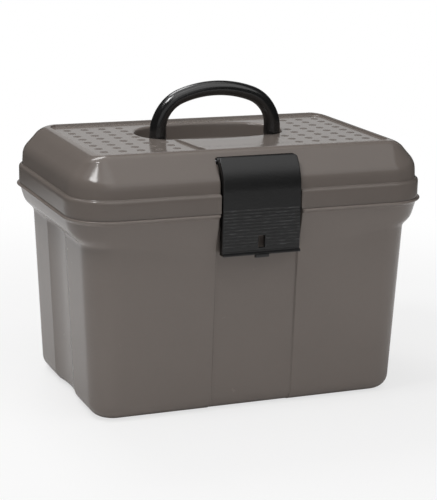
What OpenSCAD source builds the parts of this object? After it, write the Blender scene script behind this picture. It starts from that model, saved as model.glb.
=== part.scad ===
// Horse grooming box: a moulded tub with a hinged lid, a snap latch, a folding carry
// handle and a lift-out tray. Millimetres, +Z up, the front faces -Y, and the origin
// is on the floor under the middle of the tub.

/* [Tub walls] */
// How far the end walls stand in from the rim, just above the rounded base edge
base_end_inset = 27.5; // [25:0.5:33]
// How far the long walls stand in from the rim, just above the rounded base edge
base_side_inset = 19.5; // [17:0.5:24]
// Corner radius of the walls at the base, in plan
base_corner = 27; // [25:1:32]
// Radius of the rounded edge around the base
base_round = 15; // [10:1:16]
// How far the end walls stand in from the rim, under the collar
waist_end_inset = 19; // [16:0.5:23]
// How far the long walls stand in from the rim, under the collar
waist_side_inset = 11.5; // [10:0.5:15]
// Corner radius of the walls under the collar, in plan
waist_corner = 34; // [30:1:40]
// Distance below the rim of the line where the walls meet the collar
waist_drop = 33; // [28:1:38]
// How far that line dips beside the latch
waist_dip = 17; // [8:1:20]
// Thickness of the moulded wall
tub_wall = 2.8; // [2.4:0.1:3.2]
// Height of the foot ring under the base
foot_height = 1.5; // [1:0.25:2]
// Width of the foot ring under the base
foot_width = 8; // [6:1:9]

/* [Collar and rim] */
// Length over the rim bead, left to right
rim_length = 400; // [394:1:410]
// Depth over the rim bead, front to back
rim_depth = 260; // [256:1:264]
// Corner radius of the rim bead, in plan
rim_corner = 48; // [44:1:52]
// Height of the rim above the floor
rim_height = 216; // [212:1:222]
// Height of the rim bead
bead_height = 5; // [4:0.5:6]
// How far the rim bead stands out from the collar
bead_reach = 4; // [3:0.5:5]
// How much the collar leans in from the bead to the waist line
collar_lean = 5.5; // [4:0.5:6.5]
// Height of the locating lip inside the lid
lip_height = 8; // [5:1:10]
// Thickness of the locating lip
lip_wall = 2.2; // [1.8:0.1:2.6]
// How far the front catch and the latch's hooks overlap
catch_bite = 0.8; // [0.5:0.1:1.2]
// Height of the catch's upright tip
catch_height = 1.4; // [1:0.1:2]
// Rise of the catch's sloped top from its tip to the wall
catch_slope = 6; // [4:0.5:8]

/* [Front panel and end channels] */
// Width of the sunken panel beside the latch, on each side
panel_margin = 3.25; // [3:0.25:6]
// Width of the sloped step beside the panel
panel_step = 2; // [1.5:0.5:3]
// Depth of the panel at the waist line
panel_depth_high = 3; // [2.5:0.5:4]
// Depth of the panel at the base
panel_depth_low = 1.2; // [0.8:0.2:2]
// Width of the upright channel in each end wall
channel_width = 96; // [80:2:104]
// Width of each sloped flank of the channel
channel_flank = 15; // [10:1:20]
// Depth of the channel
channel_depth = 6; // [4:0.5:7]

/* [Lid] */
// Height of the straight skirt
skirt_height = 20; // [17:1:22]
// How far the rim bead stands out past the skirt
skirt_inset = 2.5; // [2:0.25:3]
// Width of the ledge on top of the skirt
ledge_width = 3.5; // [2.5:0.25:4.5]
// Height of the ledge's rounded edge
ledge_fall = 2.6; // [2:0.1:3.2]
// Height of the lid's top border above the rim
lid_rise = 61; // [59:1:64]
// How far the lid's top border stands in from the rim at each end
top_end_inset = 31; // [28:0.5:36]
// How far the lid's top border stands in from the rim at the front and back
top_side_inset = 32; // [30:0.5:35]
// Corner radius of the lid's top border, in plan
top_corner = 20; // [18:1:24]
// Width of the raised top border
border_width = 3.5; // [3:0.25:5]
// Bevel along the inside of the top border
border_bevel = 1; // [0.6:0.1:1.4]
// How far the dotted top panel lies below the border
top_sink = 2.8; // [2.4:0.2:3.6]
// Thickness of the lid's wall
lid_wall = 2.6; // [2.2:0.1:2.8]
// Gap between the lid and the tub where they meet
lid_gap = 0.3; // [0.2:0.05:0.5]
// Gap between the skirt and the locating lip
skirt_gap = 0.7; // [0.6:0.05:1]

/* [Hand well] */
// Distance of the oval well's ends from the ends of the top border
well_end_inset = 86.5; // [82.5:0.5:87.5]
// Distance of the well from the front of the top border
well_front_inset = 71.5; // [68:0.5:72]
// Distance of the well from the back of the top border
well_rear_inset = 19.5; // [16:0.5:20]
// Depth of the well's floor below the top panel
well_sink = 20.7; // [20.2:0.5:22.2]
// How much the well narrows towards its floor on each side
well_draft = 1; // [0.5:0.25:1.5]
// Radius between the well's wall and its floor
well_round = 5; // [3:0.5:6]
// Radius of the well's upper edge
well_edge = 1.3; // [1:0.1:1.6]
// Width of the smooth bridge, from the latch to the well, beside the latch on each side
bridge_margin = 5.75; // [4.5:0.25:8]
// How much the bridge widens on each side towards the well
bridge_flare = 4; // [0:0.5:8]
// Length of the bridge's level part, from the front of the border to the crease
bridge_flat = 20; // [14:1:26]

/* [Carry handle] */
// Distance of the middle of each leg from the end of the well
handle_inset = 16; // [15.5:0.5:19]
// Height of the grip's middle line above the pivots
handle_rise = 61; // [56:1:61.5]
// Thickness of the round handle bar
handle_bar = 16; // [14:0.5:16]
// Diameter of the eye at the foot of each leg
eye_size = 16; // [14:0.5:16]
// Width of the eye
eye_width = 9; // [8:0.2:9.4]
// Bend radius of the bar's middle line at the shoulders
shoulder_bend = 40; // [34:1:44]
// Turn of each shoulder before the grip's shallow arch
shoulder_turn = 70; // [66:1:74]
// Place of the pivots behind the front of the well, as a share of the well's depth
pivot_share = 0.295; // [0.28:0.005:0.32]
// Depth of the pivots below the top panel
pivot_sink = 10.7; // [10.2:0.5:11.2]
// Diameter of the pivot pins
pivot_pin = 6; // [4:0.5:7]
// Length of each pivot pin inside the lid
pivot_seat = 6; // [5:0.5:8]
// Thickness of the bearing round each pivot pin
pivot_wall = 3.9; // [3:0.1:4.5]

/* [Latch] */
// Width of the latch plate
latch_width = 86.5; // [80:0.5:87]
// Distance of the latch's lower edge below the rim
latch_drop = 44; // [40:1:48]
// Height above the rim where the plate starts to bend back
latch_straight = 22; // [20:1:24]
// Outer radius of the bend over the lid
latch_bend = 47.5; // [45:0.5:50]
// Angle of the bend
latch_bend_angle = 45; // [43:1:46]
// Thickness of the latch plate
latch_plate = 3.2; // [2.5:0.1:3.5]
// Depth of the latch with its side flanges
latch_depth = 8; // [7:0.25:8.5]
// Thickness of the side flanges
latch_flange = 2.6; // [2:0.1:3]
// Diameter of the latch's hinge pin
latch_pin_size = 3; // [2.5:0.5:3.5]
// Thickness of the barrel round the latch's hinge pin
barrel_wall = 2.2; // [1.8:0.1:2.4]
// Length of the bearing at each end of the latch's hinge pin
boss_length = 7; // [5:0.5:9]
// Width of the slot near the lower edge
slot_width = 7.5; // [5:0.5:9]
// Height of the slot
slot_height = 13; // [10:1:15]
// Height of the slot above the lower edge
slot_rise = 6.4; // [5:0.2:8]
// How far the thumb lip along the lower edge stands out
thumb_reach = 2.9; // [2:0.1:3.5]
// Height of the thumb lip's front face
thumb_height = 1.6; // [1.2:0.1:2.4]
// Width of the tab in the middle of the thumb lip
tab_width = 15; // [12:0.5:18]
// How far the tab hangs below the lip
tab_drop = 3.2; // [2:0.1:4]
// Number of grip ridges across the plate
ridge_count = 12; // [8:1:13]
// Distance from one ridge to the next
ridge_pitch = 3.4; // [3:0.1:3.6]
// How far each ridge stands out
ridge_reach = 0.5; // [0.3:0.05:0.7]
// Height of the lowest ridge above the lower edge
ridge_start = 9; // [8:0.5:12]
// Width of each hook behind the plate
hook_width = 24; // [18:1:26]
// Height of each hook at its tip
hook_tip = 2.2; // [1.8:0.1:2.6]
// Height of each hook at its root
hook_root = 6.7; // [5:0.1:7]

/* [Hinges] */
// Distance of each hinge's middle from the end of the rim
hinge_inset = 88; // [75:1:110]
// Radius of the hinge knuckles
knuckle_radius = 5.5; // [5:0.25:6.5]
// Length of the lid's knuckle
lid_knuckle = 26; // [20:1:34]
// Length of each of the tub's two knuckles
tub_knuckle = 12; // [9:1:16]
// Diameter of the hinge pins
hinge_pin_size = 5; // [4:0.5:6]
// Diameter of the hinge pins' heads
pin_head_size = 8; // [7:0.5:9]
// Thickness of the hinge pins' heads
pin_head = 1.8; // [1.4:0.1:2.2]
// Height of the web under each of the tub's knuckles
web_drop = 20; // [14:1:24]
// Height of the lid's hinge arm where it meets the skirt
arm_height = 8.8; // [6:0.2:10]

/* [Tray] */
// How far the tray's bins stand in from the ends of the tub's walls under the collar
tray_end_inset = 23; // [21:0.5:31]
// How far the tray stands in from the front and back of the tub's walls under the collar
tray_side_inset = 11.5; // [10.5:0.5:16]
// Height of the tray's bins
tray_height = 59.5; // [40:0.5:80]
// Distance of the tray's top below the rim
tray_recess = 15; // [12:1:18]
// Corner radius of the tray, in plan
tray_corner = 4; // [3:0.5:10]
// Thickness of the tray's walls
tray_wall = 2; // [1.6:0.1:2.4]
// Thickness of the flanges that carry the tray
tray_flange = 3; // [2.5:0.25:4]
// Depth of the long front bin as a share of the tray's depth
front_bin_share = 0.42; // [0.3:0.01:0.6]
// Number of bins in the back row
back_bins = 3; // [2:1:5]
// Width of the grip slot in each end flange
grip_width = 15; // [12:1:17]
// Length of the grip slot in each end flange
grip_length = 84; // [60:1:88]

/* [Fits] */
// Radial clearance of a pin in its bore
pin_clearance = 0.08; // [0.05:0.01:0.1]
// Gap beside a part that turns
side_gap = 0.5; // [0.4:0.05:0.8]
// Gap between the latch and its pocket
latch_gap = 1.2; // [0.8:0.1:1.5]
// Gap under a part that rests on a slope
seat_gap = 0.3; // [0.2:0.05:0.4]
// Distance of the tray's feet from the end channels and the tray's corners
foot_margin = 5.6; // [4:0.2:8]

/* [Hidden] */
$fn = 48;

// Extra length of every cut beyond the solid that it cuts, and of every root sunk
// into the solid that carries it
overrun = 1;
// Straight pieces of each plan corner, of each small rounding and of each bend, and
// sides of the handle bar
corner_steps = 7;
round_steps = 4;
bend_steps = 8;
bar_sides = 20;
// Points round the oval well, and the exponent of its outline
well_points = 44;
well_power_share = 2.3;

// Colours
taupe = [0.42, 0.40, 0.38];
black = [0.11, 0.11, 0.11];
steel = [0.72, 0.72, 0.74];
grey = [0.33, 0.32, 0.31];

// Lengths and depths that follow the rim, the top border, the well and the latch
base_length = rim_length - 2 * base_end_inset;
base_depth = rim_depth - 2 * base_side_inset;
waist_length = rim_length - 2 * waist_end_inset;
waist_depth = rim_depth - 2 * waist_side_inset;
top_length = rim_length - 2 * top_end_inset;
top_depth = rim_depth - 2 * top_side_inset;
well_length = top_length - 2 * well_end_inset;
well_width = top_depth - well_front_inset - well_rear_inset;
well_setback = (well_front_inset - well_rear_inset) / 2;
handle_spread = well_length - 2 * handle_inset;
panel_width = latch_width + 2 * panel_margin;
bridge_width = latch_width + 2 * bridge_margin;
hinge_offset = rim_length / 2 - hinge_inset;
tray_length = waist_length - 2 * tray_end_inset;
tray_depth = waist_depth - 2 * tray_side_inset;

// Heights of the main levels
waist_height = rim_height - waist_drop;
collar_top = rim_height - bead_height;
floor_top = foot_height + tub_wall;
skirt_low = rim_height + lid_gap;
ledge_top = skirt_low + skirt_height;
lid_top = rim_height + lid_rise;
panel_level = lid_top - top_sink;
roof_under = panel_level - lid_wall;

// Collar levels between the waist line and the bead: height share, share of the way
// from wall to collar, share of the dip, share of the end channel
collar_shares = [[0, 0, 1, 1], [0.16, 0.5, 1, 0], [0.3, 0.8, 0.95, 0],
    [0.5, 0.94, 0.75, 0], [0.78, 1, 0.35, 0], [1, 1, 0, 0]];
// Rim bead: height share and reach share
bead_shares = [[0.1, 0.7], [0.45, 1], [0.85, 0.75], [1, 0.3]];
// Skirt ledge: inward share of the ledge, and share of its fall below its top
ledge_shares = [[0, 1], [0.12, 0.45], [0.4, 0.1], [1, 0]];
// Lid dome outside: inward share and height share from the ledge to the border
dome_shares = [[0.02, 0.22], [0.075, 0.335], [0.16, 0.43], [0.78, 0.89], [0.89, 0.965], [1, 1]];
// Lid dome inside, from the ledge to the roof
roof_shares = [[0.03, 0.24], [0.12, 0.4], [1, 1]];
// How far the roof's inside reaches past the border's outline, against the lid's wall
roof_margin_share = 1.15;
// Rise of the inner skin over the outer one on the collar's slope, against the wall
slope_rise_share = 0.42;
// Place of the latch's axis behind and below its top edge, against the latch's depth
axis_back_share = 1.097;
axis_down_share = 0.617;

// Tub half sizes at a height: the drafted wall, the leaning collar, and a mix of both
function blend(from, to, share) = from + (to - from) * share;
function wall_share(z) = (z - base_round) / (waist_height - base_round);
function lean(z) = collar_lean * max(collar_top - z, 0) / (collar_top - waist_height);
function half_at(base, waist, rim, z, mix) = blend(
    blend(base, waist, wall_share(z)) / 2, rim / 2 - bead_reach - lean(z), mix);
function length_at(z, mix) = half_at(base_length, waist_length, rim_length, z, mix);
function depth_at(z, mix) = half_at(base_depth, waist_depth, rim_depth, z, mix);
function corner_at(z, mix) = blend(
    blend(base_corner, waist_corner, wall_share(z)), rim_corner - bead_reach, mix);
function panel_at(z) = depth_at(z, 0) - blend(panel_depth_low, panel_depth_high, z / waist_height);

// Half depth of the tub's back wall at any height
function collar_mix(z) = lookup((z - waist_height) / (collar_top - waist_height),
    [for (row = collar_shares) [row[0], row[1]]]);
function back_at(z) = depth_at(z, collar_mix(z));

// Angles of a quarter turn in small steps
quarter = [for (i = [0 : round_steps]) 90 * i / round_steps];

// Points of one rounded plan corner
function corner_arc(x, y, radius, start, z) = [
    for (i = [0 : corner_steps])
        let (turn = start + 90 * i / corner_steps)
        [x + radius * cos(turn), y + radius * sin(turn), z]
];

// Rounded rectangle in plan, at one height
function plan_ring(length, depth, radius, z) = let (
    x = length / 2 - radius,
    y = depth / 2 - radius
) concat(
    corner_arc(x, -y, radius, -90, z), corner_arc(x, y, radius, 0, z),
    corner_arc(-x, y, radius, 90, z), corner_arc(-x, -y, radius, 180, z));

// Upright channel in one end wall, as four points of a ring
function channel_points(side, half_length, hollow, z) = let (
    flank_out = side * channel_width / 2,
    flank_in = side * (channel_width / 2 - channel_flank)
) [
    [side * half_length, -flank_out, z], [side * hollow, -flank_in, z],
    [side * hollow, flank_in, z], [side * half_length, flank_out, z]
];

// One ring of the tub's skin. A level holds its height, the share of the collar, the
// offset outwards, the shares of the dip and of the end channels, the offset of the
// front panel and the extra half width of its step
function tub_ring(level) = let (
    z = level[0],
    mix = level[1],
    out = level[2],
    low = z - waist_dip * level[3],
    half_length = length_at(z, mix) + out,
    half_depth = depth_at(z, mix) + out,
    radius = corner_at(z, mix) + out,
    x = half_length - radius,
    y = half_depth - radius,
    front = depth_at(low, mix) + out,
    sunken = panel_at(low) + level[5],
    step_out = panel_width / 2 + level[6],
    step_in = step_out - panel_step,
    hollow = half_length - channel_depth * level[4]
) concat(
    [[-step_out, -front, low], [-step_in, -sunken, low], [step_in, -sunken, low], [step_out, -front, low]],
    corner_arc(x, -y, radius, -90, z),
    channel_points(1, half_length, hollow, z),
    corner_arc(x, y, radius, 0, z),
    corner_arc(-x, y, radius, 90, z),
    channel_points(-1, half_length, hollow, z),
    corner_arc(-x, -y, radius, 180, z));

// Levels of the drafted wall and of the rounded base edge
function wall_level(z, out, grow = 0) = [z, 0, out, 0, 1, out, grow];
function base_levels(floor, round, out, grow = 0) = [
    for (turn = quarter)
        wall_level(floor + round * (1 - cos(turn)), out - round * (1 - sin(turn)), grow)
];
function reversed(list) = [for (i = [len(list) - 1 : -1 : 0]) list[i]];

// Latch: front face, top edge of the bent plate and hinge axis
latch_face = rim_depth / 2 - skirt_inset + side_gap;
latch_low = rim_height - latch_drop;
bend_y = latch_bend - latch_face;
bend_z = rim_height + latch_straight;
edge_y = bend_y - latch_bend * cos(latch_bend_angle);
edge_z = bend_z + latch_bend * sin(latch_bend_angle);
axis_y = edge_y + latch_depth * axis_back_share;
axis_z = edge_z - latch_depth * axis_down_share;
barrel_radius = latch_pin_size / 2 + barrel_wall;
latch_bore = latch_width / 2 + latch_gap + boss_length;

// Hooks behind the latch's plate, under the catch on the tub's panel
hook_y = latch_depth - side_gap - latch_face;
hook_z = latch_low + slot_rise + slot_height - hook_root / 2;
catch_z = hook_z + side_gap;
catch_width = latch_width - 2 * (2 * latch_flange);

// The lip sits inside the skirt, and steps back behind the latch's pocket
lip_out = bead_reach - skirt_inset - lid_wall - skirt_gap;
lip_front = latch_face - latch_depth - latch_gap - lid_wall - skirt_gap;
lip_step = latch_gap + lid_wall + side_gap;
lip_top = rim_height + lip_height;

outer_levels = concat(
    [wall_level(foot_height, -base_round - foot_width - foot_height),
        wall_level(0, -base_round - foot_width)],
    base_levels(0, base_round, 0),
    [for (row = collar_shares)
        [blend(waist_height, collar_top, row[0]), row[1], 0, row[2], row[3], 0, 0]],
    [for (row = bead_shares)
        [collar_top + bead_height * row[0], 1, bead_reach * row[1], 0, 0, 0, 0]],
    [for (z = [rim_height, lip_top])
        [z, 1, lip_out, 0, 0, lip_front - panel_at(z), lip_step]]);

inner_levels = concat(
    base_levels(floor_top, base_round - tub_wall, -tub_wall, tub_wall),
    [for (row = collar_shares)
        [blend(waist_height + tub_wall * slope_rise_share, collar_top, row[0]), row[1], -tub_wall,
            row[2], row[3], -tub_wall, tub_wall]],
    [[lip_top, 1, lip_out - lip_wall, 0, 0, lip_front - lip_wall - panel_at(lip_top),
        lip_step + lip_wall]]);

// Hinge line behind the rim
hinge_y = rim_depth / 2 + side_gap + lid_gap + knuckle_radius;
hinge_z = collar_top + bead_height / 2;
hinge_span = lid_knuckle + 2 * (tub_knuckle + side_gap);
// Place on the knuckle where the web below it starts, as an angle below the level
web_turn = 37;

// Handle pivots, and the bail's shallow grip between its shoulders
pivot_y = well_front_inset - top_depth / 2 + well_width * pivot_share;
pivot_z = panel_level - pivot_sink;
pivot_reach = well_length / 2 + pivot_seat;
well_floor = panel_level - well_sink;
grip_bend = (handle_spread / 2 - shoulder_bend) / cos(shoulder_turn) + shoulder_bend;
grip_sag = (grip_bend - shoulder_bend) * sin(shoulder_turn);
leg_length = handle_rise - grip_bend + grip_sag;

// Tray seats on the slope inside the collar, clear of the end channels
seat_low_z = waist_height + tub_wall * slope_rise_share;
seat_high_z = blend(seat_low_z, collar_top, collar_shares[1][0]);
seat_low_x = length_at(waist_height, 0) - tub_wall;
seat_high_x = length_at(seat_high_z, collar_shares[1][1]) - tub_wall;
tray_top = rim_height - tray_recess;
foot_in = channel_width / 2 + foot_margin;
foot_out = waist_depth / 2 - waist_corner;

// Skin of a loft through closed rings that all have the same number of points. Each end
// is closed by a fan round the middle of its ring
module loft(rings) {
    count = len(rings[0]);
    last = len(rings) - 1;
    first_middle = (last + 1) * count;
    last_middle = first_middle + 1;
    middles = [for (ring = [rings[0], rings[last]]) [for (point = ring) 1] * ring / count];
    sides = [
        for (k = [0 : last - 1], i = [0 : count - 1])
            let (j = (i + 1) % count, low = k * count, high = low + count)
            each [[low + i, high + i, high + j], [low + i, high + j, low + j]]
    ];
    caps = [
        for (i = [0 : count - 1])
            let (j = (i + 1) % count, high = last * count)
            each [[first_middle, i, j], [last_middle, high + j, high + i]]
    ];
    polyhedron(concat([for (ring = rings) each ring], middles), concat(sides, caps));
}

// Round bar along X, from one x to another
module cross_bar(from, to, radius) {
    translate([from, 0, 0])
        rotate([0, 90, 0])
            cylinder(h = to - from, r = radius);
}

// Profile given as [y, z] points, extruded along X and centred
module cross_profile(points, width) {
    translate([-width / 2, 0, 0])
        rotate([90, 0, 90])
            linear_extrude(width)
                polygon(points);
}

// Plate with rounded corners in plan, standing on z
module rounded_plate(length, depth, radius, z, height) {
    translate([0, 0, z]) {
        translate([-length / 2, radius - depth / 2, 0])
            cube([length, depth - 2 * radius, height]);
        translate([radius - length / 2, -depth / 2, 0])
            cube([length - 2 * radius, depth, height]);
        for (x = [-1, 1], y = [-1, 1])
            translate([x * (length / 2 - radius), y * (depth / 2 - radius), 0])
                cylinder(h = height, r = radius);
    }
}

// Both hinges' places
module at_hinges() {
    for (x = [-hinge_offset, hinge_offset])
        translate([x, hinge_y, hinge_z])
            children();
}

// Knuckles of one hinge that belong to the tub, each on a web down to the wall
module tub_knuckles() {
    inner_end = lid_knuckle / 2 + side_gap;
    high_root = back_at(hinge_z) - overrun - hinge_y;
    low_root = back_at(hinge_z - web_drop) - overrun - hinge_y;
    web_radius = knuckle_radius - overrun;
    for (side = [0, 1])
        mirror([side, 0, 0]) {
            cross_bar(inner_end, inner_end + tub_knuckle, knuckle_radius);
            translate([inner_end + tub_knuckle / 2, 0, 0])
                cross_profile([[low_root, -web_drop],
                    [web_radius * cos(web_turn), -web_radius * sin(web_turn)],
                    [0, 0], [high_root, 0]], tub_knuckle);
        }
}

// Catch on the front panel, under which the latch's hooks snap
module front_catch() {
    root = overrun - panel_at(catch_z);
    tip = hook_y - catch_bite;
    cross_profile([[root, catch_z], [tip, catch_z], [tip, catch_z + catch_height],
        [root, catch_z + catch_height + catch_slope]], catch_width);
}

module tub() {
    color(taupe)
        difference() {
            union() {
                loft([for (level = concat(outer_levels, reversed(inner_levels))) tub_ring(level)]);
                at_hinges() tub_knuckles();
                front_catch();
            }
            at_hinges() cross_bar(-hinge_span, hinge_span, hinge_pin_size / 2 + pin_clearance);
        }
}

// Outside of the lid, from the skirt over the dome to the sunken top panel
module lid_outside() {
    skirt_length = rim_length - 2 * skirt_inset;
    skirt_depth = rim_depth - 2 * skirt_inset;
    skirt_corner = rim_corner - skirt_inset;
    dome_length = skirt_length - 2 * ledge_width;
    dome_depth = skirt_depth - 2 * ledge_width;
    dome_corner = skirt_corner - ledge_width;
    border_steps = [[border_width, 0], [border_width + border_bevel, border_bevel],
        [border_width + 2 * border_bevel, top_sink]];
    loft(concat(
        [plan_ring(skirt_length, skirt_depth, skirt_corner, skirt_low)],
        [for (row = ledge_shares)
            let (inset = ledge_width * row[0])
            plan_ring(skirt_length - 2 * inset, skirt_depth - 2 * inset, skirt_corner - inset,
                ledge_top - ledge_fall * row[1])],
        [for (row = dome_shares)
            plan_ring(blend(dome_length, top_length, row[0]), blend(dome_depth, top_depth, row[0]),
                blend(dome_corner, top_corner, row[0]), blend(ledge_top, lid_top, row[1]))],
        [for (step = border_steps)
            plan_ring(top_length - 2 * step[0], top_depth - 2 * step[0], top_corner - step[0],
                lid_top - step[1])]));
}

// Hollow under the lid's skin
module lid_inside() {
    hollow_length = rim_length - 2 * (skirt_inset + lid_wall);
    hollow_depth = rim_depth - 2 * (skirt_inset + lid_wall);
    hollow_corner = rim_corner - skirt_inset - lid_wall;
    dome_length = hollow_length - 2 * ledge_width;
    dome_depth = hollow_depth - 2 * ledge_width;
    dome_corner = hollow_corner - ledge_width;
    margin = lid_wall * roof_margin_share;
    loft(concat(
        [plan_ring(hollow_length, hollow_depth, hollow_corner, skirt_low - overrun)],
        [plan_ring(hollow_length, hollow_depth, hollow_corner, ledge_top - ledge_fall - lid_wall)],
        [plan_ring(dome_length, dome_depth, dome_corner, ledge_top - lid_wall / 2)],
        [for (row = roof_shares)
            plan_ring(blend(dome_length, top_length + 2 * margin, row[0]),
                blend(dome_depth, top_depth + 2 * margin, row[0]),
                blend(dome_corner, top_corner + margin, row[0]),
                blend(ledge_top, roof_under, row[1]))]));
}

// Oval outline of the hand well, grown by an offset
function oval(grow, z) = [
    for (i = [0 : well_points - 1])
        let (turn = 360 * i / well_points, power = 2 / well_power_share)
        [(well_length / 2 + grow) * sign(cos(turn)) * pow(abs(cos(turn)), power),
            well_setback + (well_width / 2 + grow) * sign(sin(turn)) * pow(abs(sin(turn)), power), z]
];

// Hand well with a rounded floor and a rounded upper edge
module well_hollow() {
    loft(concat(
        [for (turn = quarter)
            oval(-well_draft - well_round * (1 - sin(turn)), well_floor + well_round * (1 - cos(turn)))],
        [for (turn = quarter)
            oval(well_edge * (1 - cos(turn)), panel_level - well_edge * (1 - sin(turn)))],
        [oval(well_edge, lid_top + overrun)]));
}

// Bowl that holds the well, with its bearings for the handle's pins
module well_bowl() {
    loft([oval(lid_wall - well_draft, well_floor - lid_wall), oval(lid_wall, lid_top)]);
    for (side = [0, 1])
        mirror([side, 0, 0])
            translate([0, pivot_y, pivot_z])
                cross_bar(well_length / 2 - pivot_seat, pivot_reach, pivot_pin / 2 + pivot_wall);
}

// Outer face of the latch moved inwards by an offset, from a height to its top edge or
// a distance past it
function latch_curve(offset, low, past = 0) = let (
    angle = latch_bend_angle + atan(past / latch_bend),
    radius = latch_bend - offset
) concat(
    [[offset - latch_face, low]],
    [for (i = [0 : bend_steps])
        let (turn = angle * i / bend_steps)
        [bend_y - radius * cos(turn), bend_z + radius * sin(turn)]]);
function latch_band(from, to, low, past = 0) = concat(
    latch_curve(from, low, past), reversed(latch_curve(to, low, past)));

// Room for the latch in the front of the lid, grown by a wall
module latch_pocket(grow) {
    width = latch_width + 2 * (latch_gap + grow);
    back = latch_depth + latch_gap + grow;
    cross_profile(latch_band(-latch_bend, back, skirt_low - overrun, latch_gap), width);
    translate([0, axis_y, axis_z])
        cross_bar(-width / 2, width / 2, barrel_radius + side_gap + grow);
}

// One upright section across the bridge
function bridge_ring(y, half_width, z) = let (low = roof_under + lid_wall / 2) [
    [-half_width, y, low], [-half_width, y, z], [half_width, y, z], [half_width, y, low]
];

// Smooth bridge, level behind the border and then rolling down to the edge of the well,
// where its end lies inside the panel's thickness
module bridge() {
    front = border_width / 2 - top_depth / 2;
    crease = bridge_flat - top_depth / 2;
    end = well_setback - well_width / 2 + well_edge;
    loft(concat(
        [bridge_ring(front, bridge_width / 2, lid_top)],
        [for (turn = quarter)
            bridge_ring(blend(crease, end, sin(turn)), bridge_width / 2 + bridge_flare * (1 - cos(turn)),
                blend(panel_level - lid_wall / 4, lid_top, cos(turn)))]));
}

// Arm and knuckle of one hinge that belong to the lid
module lid_knuckles() {
    root = rim_depth / 2 - skirt_inset - overrun - hinge_y;
    arm_low = skirt_low + lid_gap - hinge_z;
    cross_bar(-lid_knuckle / 2, lid_knuckle / 2, knuckle_radius);
    cross_profile([[root, arm_low], [0, arm_low], [0, knuckle_radius - overrun],
        [root, arm_low + arm_height]], lid_knuckle);
}

// Skin of the lid with the bowl of the well and the walls of the latch's pocket
module lid_skin() {
    difference() {
        union() {
            lid_outside();
            bridge();
        }
        difference() {
            lid_inside();
            well_bowl();
            latch_pocket(lid_wall);
            translate([0, axis_y, axis_z])
                cross_bar(-latch_bore, latch_bore, barrel_radius);
        }
    }
}

module lid() {
    color(taupe)
        difference() {
            union() {
                lid_skin();
                at_hinges() lid_knuckles();
            }
            well_hollow();
            latch_pocket(0);
            translate([0, axis_y, axis_z])
                cross_bar(-latch_bore - overrun, latch_bore + overrun, latch_pin_size / 2 + pin_clearance);
            translate([0, pivot_y, pivot_z])
                cross_bar(-pivot_reach - overrun, pivot_reach + overrun, pivot_pin / 2 + pin_clearance);
            at_hinges() cross_bar(-hinge_span, hinge_span, hinge_pin_size / 2 + pin_clearance);
        }
}

// Headed pin of one hinge
module hinge_pin(x) {
    color(steel)
        translate([x, hinge_y, hinge_z]) {
            cross_bar(-hinge_span / 2, hinge_span / 2 + pin_head, hinge_pin_size / 2);
            cross_bar(hinge_span / 2, hinge_span / 2 + pin_head, pin_head_size / 2);
        }
}

module hinge_pin_left() {
    hinge_pin(-hinge_offset);
}

module hinge_pin_right() {
    hinge_pin(hinge_offset);
}

// Shell of the latch: a bent plate with side flanges and closed ends
module latch_shell() {
    difference() {
        cross_profile(latch_band(0, latch_depth, latch_low), latch_width);
        cross_profile(latch_band(latch_plate, latch_depth + latch_plate, latch_low + latch_flange,
            -latch_flange), latch_width - 2 * latch_flange);
    }
}

// Barrel of the latch, along the inner edge of its upper end
module latch_barrel() {
    translate([0, axis_y, axis_z])
        cross_bar(-latch_width / 2, latch_width / 2, barrel_radius);
}

// Thumb lip along the lower edge, with a deeper tab in the middle
module thumb_lip() {
    lip_y = -latch_face - thumb_reach;
    root = overrun - latch_face;
    cross_profile([[root, latch_low], [lip_y, latch_low], [lip_y, latch_low + thumb_height],
        [root, latch_low + thumb_height + thumb_reach / 2]], latch_width);
    translate([-tab_width / 2, lip_y, latch_low - tab_drop])
        cube([tab_width, latch_plate, tab_drop + thumb_height / 2]);
}

// Fine grip ridges across the plate
module grip_ridges() {
    for (i = [0 : ridge_count - 1])
        translate([0, -latch_face, latch_low + ridge_start + i * ridge_pitch])
            cross_profile([[overrun, -ridge_reach], [0, -ridge_reach], [-ridge_reach, 0],
                [0, ridge_reach], [overrun, ridge_reach]], latch_width);
}

// Hooks on both sides of the slot
module latch_hooks() {
    root = latch_plate - overrun - latch_face;
    for (side = [-1, 1])
        translate([side * (slot_width + hook_width / 2), 0, 0])
            cross_profile([[root, hook_z], [hook_y, hook_z], [hook_y, hook_z - hook_tip],
                [root, hook_z - hook_root]], hook_width);
}

module latch() {
    color(black)
        difference() {
            union() {
                latch_shell();
                latch_barrel();
                thumb_lip();
                grip_ridges();
                latch_hooks();
            }
            translate([-slot_width / 2, -latch_face - latch_plate, latch_low + slot_rise])
                cube([slot_width, latch_plate * 2 + overrun, slot_height]);
            translate([0, axis_y, axis_z])
                cross_bar(-latch_width, latch_width, latch_pin_size / 2 + pin_clearance);
        }
}

module latch_pin() {
    reach = latch_bore - side_gap;
    color(steel)
        translate([0, axis_y, axis_z])
            cross_bar(-reach, reach, latch_pin_size / 2);
}

// Round section of the bail at a point of its middle line, square to its heading
function bar_ring(x, z, heading) = [
    for (i = [0 : bar_sides - 1])
        let (turn = 360 * i / bar_sides, out = cos(turn) * handle_bar / 2)
        [x + out * cos(heading), sin(turn) * handle_bar / 2, z + out * sin(heading)]
];

// Sections along an arc of the bail, from one heading to another
function bar_arc(x, z, radius, from, to) = [
    for (i = [1 : bend_steps])
        let (heading = blend(from, to, i / bend_steps))
        bar_ring(x + radius * cos(heading), z + radius * sin(heading), heading)
];

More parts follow.
